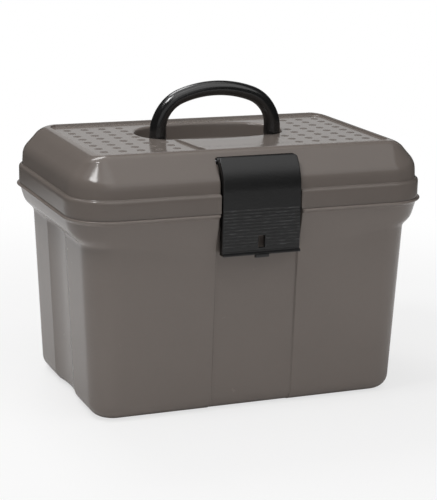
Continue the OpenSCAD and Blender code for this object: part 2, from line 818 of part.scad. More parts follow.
module carry_handle() {
    leg_x = handle_spread / 2;
    shoulder_x = leg_x - shoulder_bend;
    color(black)
        translate([0, pivot_y, pivot_z])
            difference() {
                union() {
                    loft(concat(
                        [bar_ring(leg_x, 0, 0), bar_ring(leg_x, leg_length, 0)],
                        bar_arc(shoulder_x, leg_length, shoulder_bend, 0, shoulder_turn),
                        bar_arc(0, handle_rise - grip_bend, grip_bend, shoulder_turn, 180 - shoulder_turn),
                        bar_arc(-shoulder_x, leg_length, shoulder_bend, 180 - shoulder_turn, 180),
                        [bar_ring(-leg_x, 0, 180)]));
                    for (x = [-leg_x, leg_x])
                        cross_bar(x - eye_width / 2, x + eye_width / 2, eye_size / 2);
                }
                cross_bar(-handle_spread, handle_spread, pivot_pin / 2 + pin_clearance);
            }
}

// Pin through one leg of the handle into the lid
module handle_pin(side) {
    color(steel)
        mirror([side, 0, 0])
            translate([0, pivot_y, pivot_z])
                cross_bar(handle_spread / 2 - eye_width / 2, pivot_reach, pivot_pin / 2);
}

module handle_pin_left() {
    handle_pin(1);
}

module handle_pin_right() {
    handle_pin(0);
}

// Flange at one end of the tray, with a grip slot and two feet on the tub's slope
module tray_end() {
    inner = tray_length / 2 - tray_wall;
    reach = seat_high_x;
    slot_x = (tray_length / 2 + seat_low_x) / 2;
    flange_low = tray_top - tray_flange;
    seat_slope = atan2(seat_high_z - seat_low_z, seat_high_x - seat_low_x);
    seat_rise = seat_gap / cos(seat_slope);
    difference() {
        translate([inner, -foot_out, flange_low])
            cube([reach - inner, 2 * foot_out, tray_flange]);
        for (y = [-1, 1])
            translate([slot_x, y * (grip_length - grip_width) / 2, flange_low - overrun])
                cylinder(h = tray_flange + 2 * overrun, r = grip_width / 2);
        translate([slot_x - grip_width / 2, (grip_width - grip_length) / 2, flange_low - overrun])
            cube([grip_width, grip_length - grip_width, tray_flange + 2 * overrun]);
    }
    for (side = [0, 1])
        mirror([0, side, 0])
            translate([0, foot_out, 0])
                rotate([90, 0, 0])
                    linear_extrude(foot_out - foot_in)
                        polygon([[seat_low_x, seat_low_z + seat_rise], [reach, seat_high_z + seat_rise],
                            [reach, tray_top - tray_flange / 2], [seat_low_x, tray_top - tray_flange / 2]]);
}

module lift_out_tray() {
    low = tray_top - tray_height;
    front_depth = tray_depth * front_bin_share;
    back_depth = tray_depth - front_depth - 3 * tray_wall;
    front_y = tray_wall + front_depth / 2 - tray_depth / 2;
    back_y = tray_depth / 2 - tray_wall - back_depth / 2;
    front_length = tray_length - 2 * tray_wall;
    bin_length = (tray_length - tray_wall) / back_bins - tray_wall;
    bin_corner = tray_corner - tray_wall;
    bin_height = tray_height - tray_wall + overrun;
    color(grey) {
        difference() {
            rounded_plate(tray_length, tray_depth, tray_corner, low, tray_height);
            translate([0, front_y, 0])
                rounded_plate(front_length, front_depth, bin_corner, low + tray_wall, bin_height);
            for (i = [0 : back_bins - 1])
                translate([(i - (back_bins - 1) / 2) * (bin_length + tray_wall), back_y, 0])
                    rounded_plate(bin_length, back_depth, bin_corner, low + tray_wall, bin_height);
        }
        for (side = [0, 1])
            mirror([side, 0, 0])
                tray_end();
    }
}

tub();
lid();
hinge_pin_left();
hinge_pin_right();
latch();
latch_pin();
carry_handle();
handle_pin_left();
handle_pin_right();
lift_out_tray();
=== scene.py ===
import math

import bmesh
import bpy
import numpy as np
from mathutils import Matrix, Vector


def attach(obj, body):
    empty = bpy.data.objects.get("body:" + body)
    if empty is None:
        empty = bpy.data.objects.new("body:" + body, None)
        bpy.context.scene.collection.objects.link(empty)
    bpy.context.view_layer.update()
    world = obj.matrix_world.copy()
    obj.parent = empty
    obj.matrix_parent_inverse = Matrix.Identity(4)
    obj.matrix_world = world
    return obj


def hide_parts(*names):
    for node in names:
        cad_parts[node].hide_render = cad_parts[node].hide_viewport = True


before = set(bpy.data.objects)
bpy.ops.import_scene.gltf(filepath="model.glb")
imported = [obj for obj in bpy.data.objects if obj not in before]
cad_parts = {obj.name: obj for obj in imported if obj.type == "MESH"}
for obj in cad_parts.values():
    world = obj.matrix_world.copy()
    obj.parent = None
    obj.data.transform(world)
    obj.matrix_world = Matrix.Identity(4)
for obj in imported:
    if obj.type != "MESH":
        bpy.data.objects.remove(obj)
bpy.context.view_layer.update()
print("frame loaded:", len(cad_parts), "nodes")

mm = 0.001  # pieces are worked out in millimetres and stored in metres
meshForm = {"weld": 2e-6, "sliver": 1e-7, "sharpAngle": 38, "ridgeAngle": 50}


# curves and rows

def between(a, b, t):
    return a + (b - a) * t


def smoothStep(t):  # from 0 to 1, level at both ends
    return t * t * (3 - 2 * t)


def easedRamp(t, soft):  # from 0 to 1, straight in the middle and rounded at both ends
    t = min(max(t, 0.0), 1.0)
    speed = 1 / (1 - soft)
    if t < soft:
        return speed * t * t / (2 * soft)
    if t > 1 - soft:
        return 1 - speed * (1 - t) ** 2 / (2 * soft)
    return speed * (t - soft / 2)


def smoothRows(rows, steps):  # monotone curve through rows, over their first column
    rows = np.array(rows, float)
    t, values = rows[:, 0], rows[:, 1:]
    slopes = np.diff(values, axis=0) / np.diff(t)[:, None]
    tangents = np.vstack([slopes[:1], slopes[1:], slopes[-1:]])
    before, after = slopes[:-1], slopes[1:]
    product = before * after
    tangents[1:-1] = np.where(product > 0, 2 * product / np.where(product > 0, before + after, 1), 0)
    out = []
    for k in range(len(t) - 1):
        h = t[k + 1] - t[k]
        for i in range(steps):
            s = i / steps
            point = ((1 + 2 * s) * (1 - s) ** 2 * values[k] + s * (1 - s) ** 2 * h * tangents[k]
                     + s * s * (3 - 2 * s) * values[k + 1] + s * s * (s - 1) * h * tangents[k + 1])
            out.append([t[k] + s * h, *point])
    return np.array(out + [list(rows[-1])])


def roundedPath(corners, steps=6):  # corners are (a, b, radius)
    path = [np.array(corners[0][:2], float)]
    for last, here, after in zip(corners, corners[1:], corners[2:]):
        p, q, r = (np.array(c[:2], float) for c in (last, here, after))
        radius = here[2]
        if radius == 0:
            path.append(q)
            continue
        u, v = (p - q) / np.linalg.norm(p - q), (r - q) / np.linalg.norm(r - q)
        half = math.acos(np.clip(u @ v, -1, 1)) / 2
        middle = q + (u + v) / np.linalg.norm(u + v) * radius / math.sin(half)
        start, end = (q + w * radius / math.tan(half) - middle for w in (u, v))
        first = math.atan2(start[1], start[0])
        sweep = (math.atan2(end[1], end[0]) - first + math.pi) % (2 * math.pi) - math.pi
        turns = [first + sweep * i / steps for i in range(steps + 1)]
        path += [middle + radius * np.array([math.cos(a), math.sin(a)]) for a in turns]
    return np.array(path + [np.array(corners[-1][:2], float)])


def pathLengths(path):  # distance along the path at each of its points
    return np.r_[0, np.cumsum(np.linalg.norm(np.diff(path, axis=0), axis=1))]


def pathAt(path, lengths, at):  # the path's columns at other distances
    return np.column_stack([np.interp(at, lengths, path[:, k]) for k in range(path.shape[1])])


def resampled(path, count):  # the same path in evenly spaced points
    lengths = pathLengths(path)
    return pathAt(path, lengths, np.linspace(0, lengths[-1], count))


def arcPoints(middle, radius, start, end, steps):  # degrees, from straight back (+Y) towards up
    turns = np.radians(np.linspace(start, end, steps + 1))
    return np.column_stack([middle[0] + radius * np.cos(turns), middle[1] + radius * np.sin(turns)])


# meshes

def loft(rings, capped=True):  # closed rings of equal count; each end closes on a middle point
    rings = np.asarray(rings, float)
    rows, count = rings.shape[:2]
    verts = [tuple(p) for p in rings.reshape(-1, 3)]
    faces = []
    for k in range(rows - 1):
        for i in range(count):
            j = (i + 1) % count
            faces.append((k * count + i, k * count + j, (k + 1) * count + j, (k + 1) * count + i))
    if capped:
        for k in (0, rows - 1):
            tip = len(verts)
            verts.append(tuple(rings[k].mean(0)))
            faces += [(k * count + i, k * count + (i + 1) % count, tip) for i in range(count)]
    else:
        k = (rows - 1) * count
        faces += [(k + i, k + (i + 1) % count, (i + 1) % count, i) for i in range(count)]
    return verts, faces


def prism(outline, low, high):  # (y, z) outline along X
    outline = np.asarray(outline, float)
    return loft([np.column_stack([np.full(len(outline), x), outline]) for x in (low, high)])


def sleeve(low, high, middle, outer, inner, edge, steps=40):  # turned ring along X, edges rounded
    start = (low, (outer + inner) / 2, 0)
    section = roundedPath([start, (low, outer, edge), (high, outer, edge), (high, inner, edge / 2),
                           (low, inner, edge / 2), start], 4)[:-1]
    turns = np.linspace(0, 2 * math.pi, steps, endpoint=False)
    return loft([[(x, middle[0] + r * math.cos(a), middle[1] + r * math.sin(a)) for x, r in section]
                 for a in turns], capped=False)


def linked(name, data):  # new object in the scene
    thing = bpy.data.objects.new(name, data)
    bpy.context.scene.collection.objects.link(thing)
    return thing


def smoothShaded(mesh, sharpAngle):
    mesh.shade_smooth()
    mesh.set_sharp_from_angle(angle=math.radians(sharpAngle))


def makePiece(name, shells):  # one object from closed shells
    verts, faces = [], []
    for shellVerts, shellFaces in shells:
        start = len(verts)
        verts += shellVerts
        faces += [tuple(start + i for i in face) for face in shellFaces]
    mesh = bpy.data.meshes.new(name)
    mesh.from_pydata([Vector(v) * mm for v in verts], [], faces)
    shape = bmesh.new()
    shape.from_mesh(mesh)
    bmesh.ops.remove_doubles(shape, verts=shape.verts, dist=meshForm["weld"])
    bmesh.ops.dissolve_degenerate(shape, edges=shape.edges, dist=meshForm["sliver"])
    bmesh.ops.recalc_face_normals(shape, faces=shape.faces)
    shape.to_mesh(mesh)
    shape.free()
    smoothShaded(mesh, meshForm["sharpAngle"])
    return linked(name, mesh)


def dress(piece, finish):
    piece.data.materials.clear()
    piece.data.materials.append(finish)


def settle(piece, body, finish=None, nodes=()):  # its finish, body and CAD nodes
    if finish:
        dress(piece, finish)
    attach(piece, body)
    if nodes:
        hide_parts(*nodes)


# nodes: one wrapper for shader and geometry trees

class Wire:
    def __init__(self, tree, socket=None):
        self.tree, self.socket = tree, socket

    def add(self, kind, settings=None, out=0, **inputs):  # any node, its settings and its sockets
        node = self.tree.nodes.new(kind)
        for key, value in (settings or {}).items():
            setattr(node, key, value)
        feed(node, **inputs)
        return Wire(self.tree, node.outputs[out])

    def maths(self, operation, other=0.0, swapped=False):
        first, second = (other, self) if swapped else (self, other)
        return self.add("ShaderNodeMath", {"operation": operation}, at0=first, at1=second)

    def __add__(self, other):
        return self.maths("ADD", other)

    def __sub__(self, other):
        return self.maths("SUBTRACT", other)

    def __rsub__(self, other):
        return self.maths("SUBTRACT", other, True)

    def __mul__(self, other):
        return self.maths("MULTIPLY", other)

    def __truediv__(self, other):
        return self.maths("DIVIDE", other)

    def __pow__(self, other):
        return self.maths("POWER", other)

    def __lt__(self, other):
        return self.maths("LESS_THAN", other)

    def __gt__(self, other):
        return self.maths("GREATER_THAN", other)

    __radd__, __rmul__ = __add__, __mul__

    def size(self):
        return self.maths("ABSOLUTE")


def feed(node, **values):  # links or plain values on sockets, by name, or at0, at1 by place
    for key, value in values.items():
        byPlace = key[:2] == "at" and key[2:].isdigit()
        socket = node.inputs[int(key[2:]) if byPlace else key.replace("_", " ")]
        if isinstance(value, Wire):
            value.tree.links.new(value.socket, socket)
        else:
            socket.default_value = value


def newFinish(name):  # material, its shader and its Object coordinates
    material = bpy.data.materials.new(name)
    material.use_nodes = True
    tree = material.node_tree
    place = Wire(tree).add("ShaderNodeTexCoord", out="Object")
    return material, tree.nodes["Principled BSDF"], place


def noise(place, scale, detail=2.0, roughness=0.5):
    return place.add("ShaderNodeTexNoise", out="Fac", Vector=place,
                     Scale=scale, Detail=detail, Roughness=roughness)


def stretched(place, scale):  # coordinates drawn out, for streaks
    return place.add("ShaderNodeMapping", Vector=place, Scale=scale)


def tone(mask, look):  # colour between the look's two tones
    return mask.add("ShaderNodeMix", {"data_type": "RGBA"}, out=2,
                    at0=mask, at6=(*look["dark"], 1), at7=(*look["light"], 1))


def around(middle, mask, spread):  # value that wanders with a mask
    return middle + (mask - 0.5) * spread


def bump(height, strength, depth):  # strength from 0 to 1, depth in metres
    return height.add("ShaderNodeBump", Height=height, Strength=strength, Distance=depth)


shellLook = {
    "dark": (0.177, 0.152, 0.136), "light": (0.198, 0.17, 0.152), "roughness": 0.16,
    "cloudScale": 22, "fineScale": 260, "scuffScale": 75, "scuffing": 0.05, "haze": 0.02,
    "sheen": 0.27, "coat": 0.15, "coatRoughness": 0.06,
    "rippleScale": 45, "rippleStrength": 0.35, "rippleHeight": 0.00003,
}
# the tub's copy of the lid's taupe plastic, painted lighter: painted light for the brighter light on
# the tub's walls; its roughness is its own
tubLookPaintedLighter = {**shellLook, "dark": (0.209, 0.179, 0.16), "light": (0.232, 0.199, 0.178), "roughness": 0.26}


def shellFinish(name, look):  # glossy moulded taupe plastic
    material, shader, place = newFinish(name)
    cloud = noise(place, look["cloudScale"], 3)
    fine = noise(place, look["fineScale"], 2)
    scuff = noise(place, look["scuffScale"], 3)
    ripple = noise(place, look["rippleScale"], 2) * 0.7 + fine * 0.03
    feed(shader, Base_Color=tone(cloud * 0.7 + fine * 0.3, look),
         Roughness=around(look["roughness"], scuff, look["scuffing"]) + (fine - 0.5) * look["haze"],
         IOR=1.5, Specular_IOR_Level=look["sheen"],
         Coat_Weight=look["coat"], Coat_Roughness=look["coatRoughness"],
         Normal=bump(ripple, look["rippleStrength"], look["rippleHeight"]))
    return material


latchLook = {
    "dark": (0.002, 0.002, 0.0021), "light": (0.006, 0.006, 0.0062),
    "roughness": 0.35, "unevenness": 0.16, "sheen": 0.66,
    "grain": 560, "patchScale": 120, "grainStrength": 0.55, "grainHeight": 0.0003,
    "paintedGlintShare": 0.0, "dash": (0.12, 1.0, 1.0), "dashGrain": 1.6, "dashEdge": (0.5, 0.68),
}
# the ridges' copy, mostly light dashes: painted highlights for the glints of light along the ridges
ridgeGlintLook = {**latchLook, "light": (0.055, 0.055, 0.056), "paintedGlintShare": 0.92}


def latchFinish(name, look):  # black plastic with a fine grain; where glints are asked for, light dashes are painted on as painted highlights
    material, shader, place = newFinish(name)
    grain = noise(place, look["grain"], 3, 0.6)
    patch = noise(place, look["patchScale"], 3)
    dashes = noise(stretched(place, look["dash"]), look["grain"] * look["dashGrain"], 2)
    low, high = look["dashEdge"]
    glintDashes = dashes.add("ShaderNodeMapRange", Value=dashes, From_Min=low, From_Max=high)
    mask = (grain * 0.6 + patch * 0.4) * (1 - look["paintedGlintShare"]) + glintDashes * look["paintedGlintShare"]
    feed(shader, Base_Color=tone(mask, look), Specular_IOR_Level=look["sheen"],
         Roughness=around(look["roughness"], grain, look["unevenness"]),
         Normal=bump(grain, look["grainStrength"], look["grainHeight"]))
    return material


handleLook = {
    "dark": (0.009, 0.009, 0.0093), "light": (0.014, 0.014, 0.0144),
    "roughness": 0.2, "rubbing": 0.12, "sheen": 0.9, "cloudScale": 45, "rubScale": 320,
    "waveStrength": 0.25, "waveHeight": 0.00004,
}


def handleFinish(look):  # smooth black plastic, a little worn on the grip
    material, shader, place = newFinish("smoothBlackPlastic")
    cloud = noise(place, look["cloudScale"], 3)
    rub = noise(place, look["rubScale"], 4, 0.65)
    feed(shader, Base_Color=tone(cloud, look), Specular_IOR_Level=look["sheen"],
         Roughness=around(look["roughness"], rub, look["rubbing"]),
         Normal=bump(rub * 0.5 + cloud, look["waveStrength"], look["waveHeight"]))
    return material


dotLook = {
    "dark": (0.143, 0.123, 0.11), "light": (0.159, 0.136, 0.122), "roughness": 0.5, "unevenness": 0.2,
    "sheen": 0.2, "gritScale": 2200, "gritStrength": 0.4, "gritHeight": 0.00005,
}


def dotFinish(look):  # etched spots, the shell's plastic left matt
    material, shader, place = newFinish("mattTaupeSpots")
    grit = noise(place, look["gritScale"], 2)
    feed(shader, Base_Color=tone(grit, look), Specular_IOR_Level=look["sheen"],
         Roughness=around(look["roughness"], grit, look["unevenness"]),
         Normal=bump(grit, look["gritStrength"], look["gritHeight"]))
    return material


trayLook = {
    "dark": (0.078, 0.074, 0.07), "light": (0.098, 0.093, 0.088), "roughness": 0.38, "unevenness": 0.16,
    "flow": (1.0, 0.25, 2.0), "flowScale": 55,
    "gritScale": 1300, "gritStrength": 0.4, "gritHeight": 0.00004,
}


def trayFinish(look):  # plain satin moulding with faint flow marks
    material, shader, place = newFinish("satinGreyPlastic")
    streak = noise(stretched(place, look["flow"]), look["flowScale"], 4, 0.6)
    grit = noise(place, look["gritScale"], 2)
    feed(shader, Base_Color=tone(streak * 0.6 + grit * 0.4, look), IOR=1.49,
         Roughness=around(look["roughness"], grit, look["unevenness"]),
         Normal=bump(grit, look["gritStrength"], look["gritHeight"]))
    return material


pinLook = {
    "dark": (0.52, 0.52, 0.54), "light": (0.66, 0.66, 0.68), "roughness": 0.28, "unevenness": 0.2,
    "drawn": (0.05, 1.0, 1.0), "drawnScale": 2600,
}


def steelFinish(look):  # drawn steel pins, marked along their length
    material, shader, place = newFinish("drawnSteel")
    streak = noise(stretched(place, look["drawn"]), look["drawnScale"], 3, 0.6)
    feed(shader, Base_Color=tone(streak, look), Metallic=1.0,
         Roughness=around(look["roughness"], streak, look["unevenness"]))
    return material


lidPlastic = shellFinish("glossyTaupeLid", shellLook)
# the tub's finish carries that painted lighter tone
tubPlasticPaintedLighter = shellFinish("glossyTaupeTubPaintedLighter", tubLookPaintedLighter)
blackGrained = latchFinish("grainedBlackPlastic", latchLook)
# ridge finish with the painted highlight dashes
blackPaintedGlints = latchFinish("blackPlasticPaintedGlints", ridgeGlintLook)
blackSmooth = handleFinish(handleLook)
mattSpots = dotFinish(dotLook)
greySatin = trayFinish(trayLook)
steel = steelFinish(pinLook)
print("finishes made")


# rounded plan outlines

cornerSteps = 22


def mirroredRing(half):  # right half from the front middle to the back middle, and its mirror
    half = np.asarray(half, float)
    return np.vstack([half, half[-2:0:-1] * np.array([-1, 1, 1])])


def cornerRun(x, y, radius, start):  # one plan corner, without its first point
    turns = np.radians(np.linspace(start, start + 90, cornerSteps + 1))[1:]
    return [(x + radius * math.cos(a), y + radius * math.sin(a)) for a in turns]


# tub: drafted walls, flared collar, rim bead and locating lip

tubForm = {
    "rim": (400.0, 260.0, 48.0), "base": (345.0, 221.0, 27.0), "waist": (362.0, 237.0, 34.0),
    "rimHeight": 216.0, "beadHeight": 5.0, "beadReach": 4.0, "collarLean": 5.5,
    "waistHeight": 183.0, "waistDip": 17.0, "waistLift": 0.42, "wall": 2.8, "baseRound": 15.0,
    "footHeight": 1.5, "footWidth": 8.0, "footEdge": 0.6,
    "panelHalf": 46.5, "panelStep": 2.0, "panelMargin": 1.2, "panelDepth": (1.2, 3.0),
    "stepSoft": 0.42,
    "channelHalf": 36.0, "channelDepth": 3.6, "channelEdge": 1.6, "channelSoft": 0.45,
    "lipHeight": 8.0, "lipWall": 2.2, "lipOut": -1.8, "lipFront": 115.5, "lipStep": 4.3,
    "lipEdge": 0.5,
    "hingeOffset": 112.0, "hinge": (136.3, 213.5), "knuckle": 5.5, "pinBore": 2.58, "edge": 0.5,
    "lidKnuckle": 26.0, "tubKnuckle": 12.0, "sideGap": 0.5, "webDrop": 20.0, "webInset": 0.3,
    "catchLow": 188.55, "catchTip": -121.3, "catchHalf": 38.05,
}
# height share, share of the way from wall to collar, share of the dip, share of the end channel
collarRows = [[0, 0, 1, 1], [0.1, 0.06, 1, 0.6], [0.2, 0.25, 1, 0.15], [0.32, 0.53, 0.97, 0],
              [0.45, 0.77, 0.88, 0], [0.6, 0.91, 0.65, 0], [0.8, 0.98, 0.3, 0], [1, 1, 0, 0]]
# height share and reach share of the rim bead
beadRows = [[0, 0], [0.2, 0.3], [0.42, 0.74], [0.58, 0.96],
            [0.7, 1], [0.82, 0.95], [0.92, 0.82], [1, 0.55]]
collarTop = tubForm["rimHeight"] - tubForm["beadHeight"]
# heights of the wall's rings, and places of the columns across each side
wallHeights = (20, 28, 50, 80, 110, 140, 160, 172, 179, 182)
innerHeights = (178, 160, 120, 80, 40, 22)
panelPlaces = (0, 14, 28, 38)
frontShares = (0.012, 0.06, 0.16, 0.3, 0.45, 0.6, 0.75, 0.88, 0.96, 1.0)
endShares = (0.03, 0.1, 0.3, 0.6, 0.9)
backShares = (0.96, 0.8, 0.6, 0.4, 0.2, 0)
scoopShares = (0.2, 0.4, 0.6, 0.8, 0.9, 0.95, 0.975, 0.99, 1)
scoopPlaces = [-t for t in scoopShares[::-1]] + [0, *scoopShares]


def wallShare(z):
    return (z - tubForm["baseRound"]) / (tubForm["waistHeight"] - tubForm["baseRound"])


def tubHalf(k, z, share):  # half length (0) or half depth (1) at a height
    wall = between(tubForm["base"][k], tubForm["waist"][k], wallShare(z)) / 2
    lean = tubForm["collarLean"] * max(collarTop - z, 0) / (collarTop - tubForm["waistHeight"])
    return between(wall, tubForm["rim"][k] / 2 - tubForm["beadReach"] - lean, share)


def tubCorner(z, share):
    wall = between(tubForm["base"][2], tubForm["waist"][2], wallShare(z))
    return between(wall, tubForm["rim"][2] - tubForm["beadReach"], share ** 4)


def panelAt(z):
    low, high = tubForm["panelDepth"]
    return tubHalf(1, z, 0) - between(low, high, z / tubForm["waistHeight"])


def scoopDepth(t):  # hollow of the end channel across its width, with softened edges
    soft = tubForm["channelEdge"] / tubForm["channelHalf"]
    share = (1 - t * t) * easedRamp((1 - abs(t)) / soft, tubForm["channelSoft"]) ** 0.5
    return tubForm["channelDepth"] * share


def tubRing(z, share=0.0, out=0.0, dip=0.0, channel=1.0, panelOut=None, grow=0.0):
    f = tubForm
    halfX, halfY = tubHalf(0, z, share) + out, tubHalf(1, z, share) + out
    radius = tubCorner(z, share) + out
    x, y = halfX - radius, halfY - radius
    low = z - f["waistDip"] * dip
    front = tubHalf(1, low, share) + out
    sunken = panelAt(low) + (out if panelOut is None else panelOut)
    stepOut = f["panelHalf"] + grow
    stepIn = stepOut - f["panelStep"]
    edge = f["channelHalf"]
    half = [(px, -sunken, low) for px in (*panelPlaces, stepIn - f["panelMargin"])]
    for t in np.linspace(0, 1, 9):
        rise = easedRamp(t, f["stepSoft"])
        half.append((between(stepIn, stepOut, t), -between(sunken, front, rise), low))
    half += [(between(stepOut, x, t), -between(front, halfY, t), between(low, z, t))
             for t in frontShares]
    half += [(px, py, z) for px, py in cornerRun(x, -y, radius, -90)]
    half += [(halfX, -between(edge, y, t), z) for t in endShares[::-1]]
    half += [(halfX - channel * scoopDepth(t), edge * t, z) for t in scoopPlaces]
    half += [(halfX, between(edge, y, t), z) for t in (*endShares, 1.0)]
    half += [(px, py, z) for px, py in cornerRun(x, y, radius, 0)]
    half += [(x * t, halfY, z) for t in backShares]
    return mirroredRing(half)


def tubBaseRings(low, radius, out, grow):
    return [tubRing(low + radius * (1 - math.cos(a)), out=out - radius * (1 - math.sin(a)), grow=grow)
            for a in np.radians(np.linspace(0, 90, 11))]


def lipRing(z, inset):
    f = tubForm
    front = f["lipFront"] - inset - panelAt(z)
    return tubRing(z, 1, f["lipOut"] - inset, 0, 0, front, f["lipStep"] + inset)


def tubShell():  # rings from the foot up the outside, over the lip and down the inside
    f = tubForm
    wall, foot = f["wall"], -f["baseRound"] - f["footWidth"]
    lipTop = f["rimHeight"] + f["lipHeight"]
    rings = [tubRing(f["footHeight"], out=foot - f["footHeight"]), tubRing(0, out=foot),
             tubRing(0, out=-f["baseRound"] - f["footEdge"])]
    rings += tubBaseRings(0, f["baseRound"], 0, 0)
    rings += [tubRing(z, dip=wallShare(z)) for z in wallHeights]
    rings += [tubRing(between(f["waistHeight"], collarTop, t), share, 0, dip, channel, 0)
              for t, share, dip, channel in smoothRows(collarRows, 6)]
    rings += [tubRing(collarTop + f["beadHeight"] * t, 1, f["beadReach"] * reach, 0, 0, 0)
              for t, reach in smoothRows(beadRows, 5)[1:]]
    rings += [lipRing(z, 0) for z in (f["rimHeight"], f["rimHeight"] + 1, lipTop - f["lipEdge"])]
    rings += [lipRing(lipTop, f["lipEdge"]), lipRing(lipTop, f["lipWall"])]
    start = f["waistHeight"] + wall * f["waistLift"]
    rings += [tubRing(between(start, collarTop, t), share, -wall, dip, channel, -wall, wall)
              for t, share, dip, channel in smoothRows(collarRows, 4)[::-1]]
    rings += [tubRing(z, out=-wall, dip=wallShare(z), grow=wall) for z in innerHeights]
    rings += tubBaseRings(f["footHeight"] + wall, f["baseRound"] - wall, -wall, wall)[::-1]
    return loft(rings)


def hingeWeb(x0, x1):  # web from one tub knuckle down to the wall
    f = tubForm
    y, z = f["hinge"]
    root, low = f["knuckle"] - 1, z - f["webDrop"]  # its corners are sunk into knuckle and wall
    outline = [(tubHalf(1, low, 0.9) - 2.4, low), (y + root * 0.8, z - root * 0.6),
               (y + 0.5, z), (tubHalf(1, z, 1) - 1.5, z)]
    return prism(outline, x0, x1)


def tubKnuckles():
    f = tubForm
    near = f["lidKnuckle"] / 2 + f["sideGap"]
    shells = []
    for middle in (-f["hingeOffset"], f["hingeOffset"]):
        for end in (-1, 1):
            low, high = sorted((middle + end * near, middle + end * (near + f["tubKnuckle"])))
            shells.append(sleeve(low, high, f["hinge"], f["knuckle"], f["pinBore"], f["edge"]))
            shells.append(hingeWeb(low + f["webInset"], high - f["webInset"]))
    return shells


def frontCatch():
    f = tubForm
    root, low, tip = 1.0 - panelAt(f["catchLow"]), f["catchLow"], f["catchTip"]
    start = (root, low + 3, 0)
    outline = roundedPath([start, (root, low, 0), (tip, low, 0.4), (tip, low + 1.4, 0.4),
                           (root, low + 7.4, 0), start], 3)[:-1]
    return prism(outline, -f["catchHalf"], f["catchHalf"])


tub = makePiece("tubShell", [tubShell(), *tubKnuckles(), frontCatch()])
settle(tub, "base", tubPlasticPaintedLighter, ["tub"])
print("tub:", len(tub.data.polygons), "faces")


# lid: skirt, ledge, dome, sunken dotted panel, hand well, bridge and latch pocket

lidForm = {
    "skirt": (395.0, 255.0, 45.5), "dome": (388.0, 248.0, 42.0), "top": (338.0, 196.0, 17.0),
    "skirtLow": 216.3, "ledgeTop": 236.3, "topHeight": 277.0, "panel": 274.2, "wall": 2.6,
    "ledge": 3.5, "ledgeRound": 3.2, "innerWall": 1.0, "neckInset": 3.5, "roofMargin": 1.15,
    "frontDome": ((0.79, 249.9, 14.7), (24.2, 277.0, 12.5), (30.5, 277.0)),
    "endDome": ((0.9, 254.0, 20.0), (19.8, 274.4, 26.0), (30.7, 276.43)),
    "well": (82.5, 52.5), "wellMiddle": 26.0, "wellPower": 2.3, "wellFloor": 253.5, "wellRound": 5.0,
    "wellEdge": 3.4, "wellDraft": 1.0,
    "bridgeHalf": 49.0, "bridgeFlare": 4.0, "bridgeReach": (9.5, 40.0, 68.0), "bridgeRoll": 8,
    "crease": -78.0, "creaseDrop": 0.7, "creaseRun": 0.8,
    "pocketHalf": 44.5, "pocketBack": -118.8, "pocketCorner": 3.0, "pocketEdge": 0.9,
    "bend": (-80.5, 238.0), "bendRadius": 38.3, "bendTurn": 46,
    "axis": (-105.3116, 266.6516), "axisRoom": 4.2, "axisEnd": 447.5, "axisLean": 0.18,
    "pivot": (4.475, 263.5), "bearing": (79.4, 88.5), "bearingRadius": 6.9, "bearingBore": 3.08,
    "bearingEdge": 0.5, "armHeight": 8.8,
}
skirtFront = -lidForm["skirt"][1] / 2
domeRun = lidForm["dome"][1] / 2 - lidForm["top"][1] / 2


def lidPlan(front, end):  # length, depth and corner of the outline at insets from the skirt
    f = lidForm
    run = max(front - f["ledge"], 0)
    corner = between(f["dome"][2], f["top"][2], min(run / domeRun, 1)) - max(run - domeRun, 0)
    if front < f["ledge"]:
        corner = f["skirt"][2] - front
    return f["skirt"][0] - 2 * end, f["skirt"][1] - 2 * front, corner


def wellPoint(angle, grow):  # point of the well's oval outline, grown outwards
    a, b = (v + grow for v in lidForm["well"])
    n = lidForm["wellPower"]
    r = ((abs(math.cos(angle)) / a) ** n + (abs(math.sin(angle)) / b) ** n) ** (-1 / n)
    return np.array([r * math.cos(angle), lidForm["wellMiddle"] + r * math.sin(angle)])


def rimPoint(angle, grow):  # the same, with the front edge carried back along the bridge
    point = wellPoint(angle, grow)
    reach, full, none = lidForm["bridgeReach"]
    if point[1] < lidForm["wellMiddle"]:
        point[1] += reach * smoothStep(min(max((none - abs(point[0])) / (none - full), 0), 1))
    return point


def wellAngleAt(x):  # angle of the oval's front half at an x
    share = min(abs(x) / lidForm["well"][0], 1)
    y = -lidForm["well"][1] * (1 - share ** lidForm["wellPower"]) ** (1 / lidForm["wellPower"])
    return math.atan2(y, x)


# columns of the right half, from the front middle round to the back middle
pocketPlaces = (0, 7, 14, 21, 28, 34, 38.5, 41.2, 43.4, lidForm["pocketHalf"])
pocketTurns = (90, 68, 45, 22, 0)
bridgePlaces = ((46.6, 1.0), (48.3, 1.0), (48.75, 0.94), (49.05, 0.7), (49.35, 0.3), (49.65, 0.06),
                (50.1, 0.0), (51.5, 0.0), (54, 0.0), (58, 0.0))
lidFrontShares = (0.12, 0.3, 0.5, 0.7, 0.86, 0.95, 1.0)
lidEndShares = (-0.93, -0.75, -0.5, -0.25, 0, 0.25, 0.5, 0.75, 0.93, 1.0)
lidBackShares = (0.95, 0.8, 0.6, 0.4, 0.2, 0)


def lidColumns():
    turns = np.linspace(0, 1, cornerSteps + 1)[1:]
    half = lidForm["pocketHalf"]
    made = [{"kind": "front", "x": x, "bridge": 1.0, "pocket": "in"} for x in pocketPlaces]
    made += [{"kind": "front", "x": half, "bridge": 1.0, "pocket": math.radians(t)}
             for t in pocketTurns]
    made += [{"kind": "front", "x": x, "bridge": share} for x, share in bridgePlaces]
    made += [{"kind": "frontRun", "share": t} for t in lidFrontShares]
    made += [{"kind": "corner", "quarter": -1, "turn": t, "end": smoothStep(t)} for t in turns]
    made += [{"kind": "end", "share": t, "end": 1.0} for t in lidEndShares]
    made += [{"kind": "corner", "quarter": 1, "turn": t, "end": smoothStep(1 - t)} for t in turns]
    made += [{"kind": "back", "share": t} for t in lidBackShares]
    return [{"bridge": 0.0, "pocket": None, "end": 0.0, **column} for column in made]


columns = lidColumns()


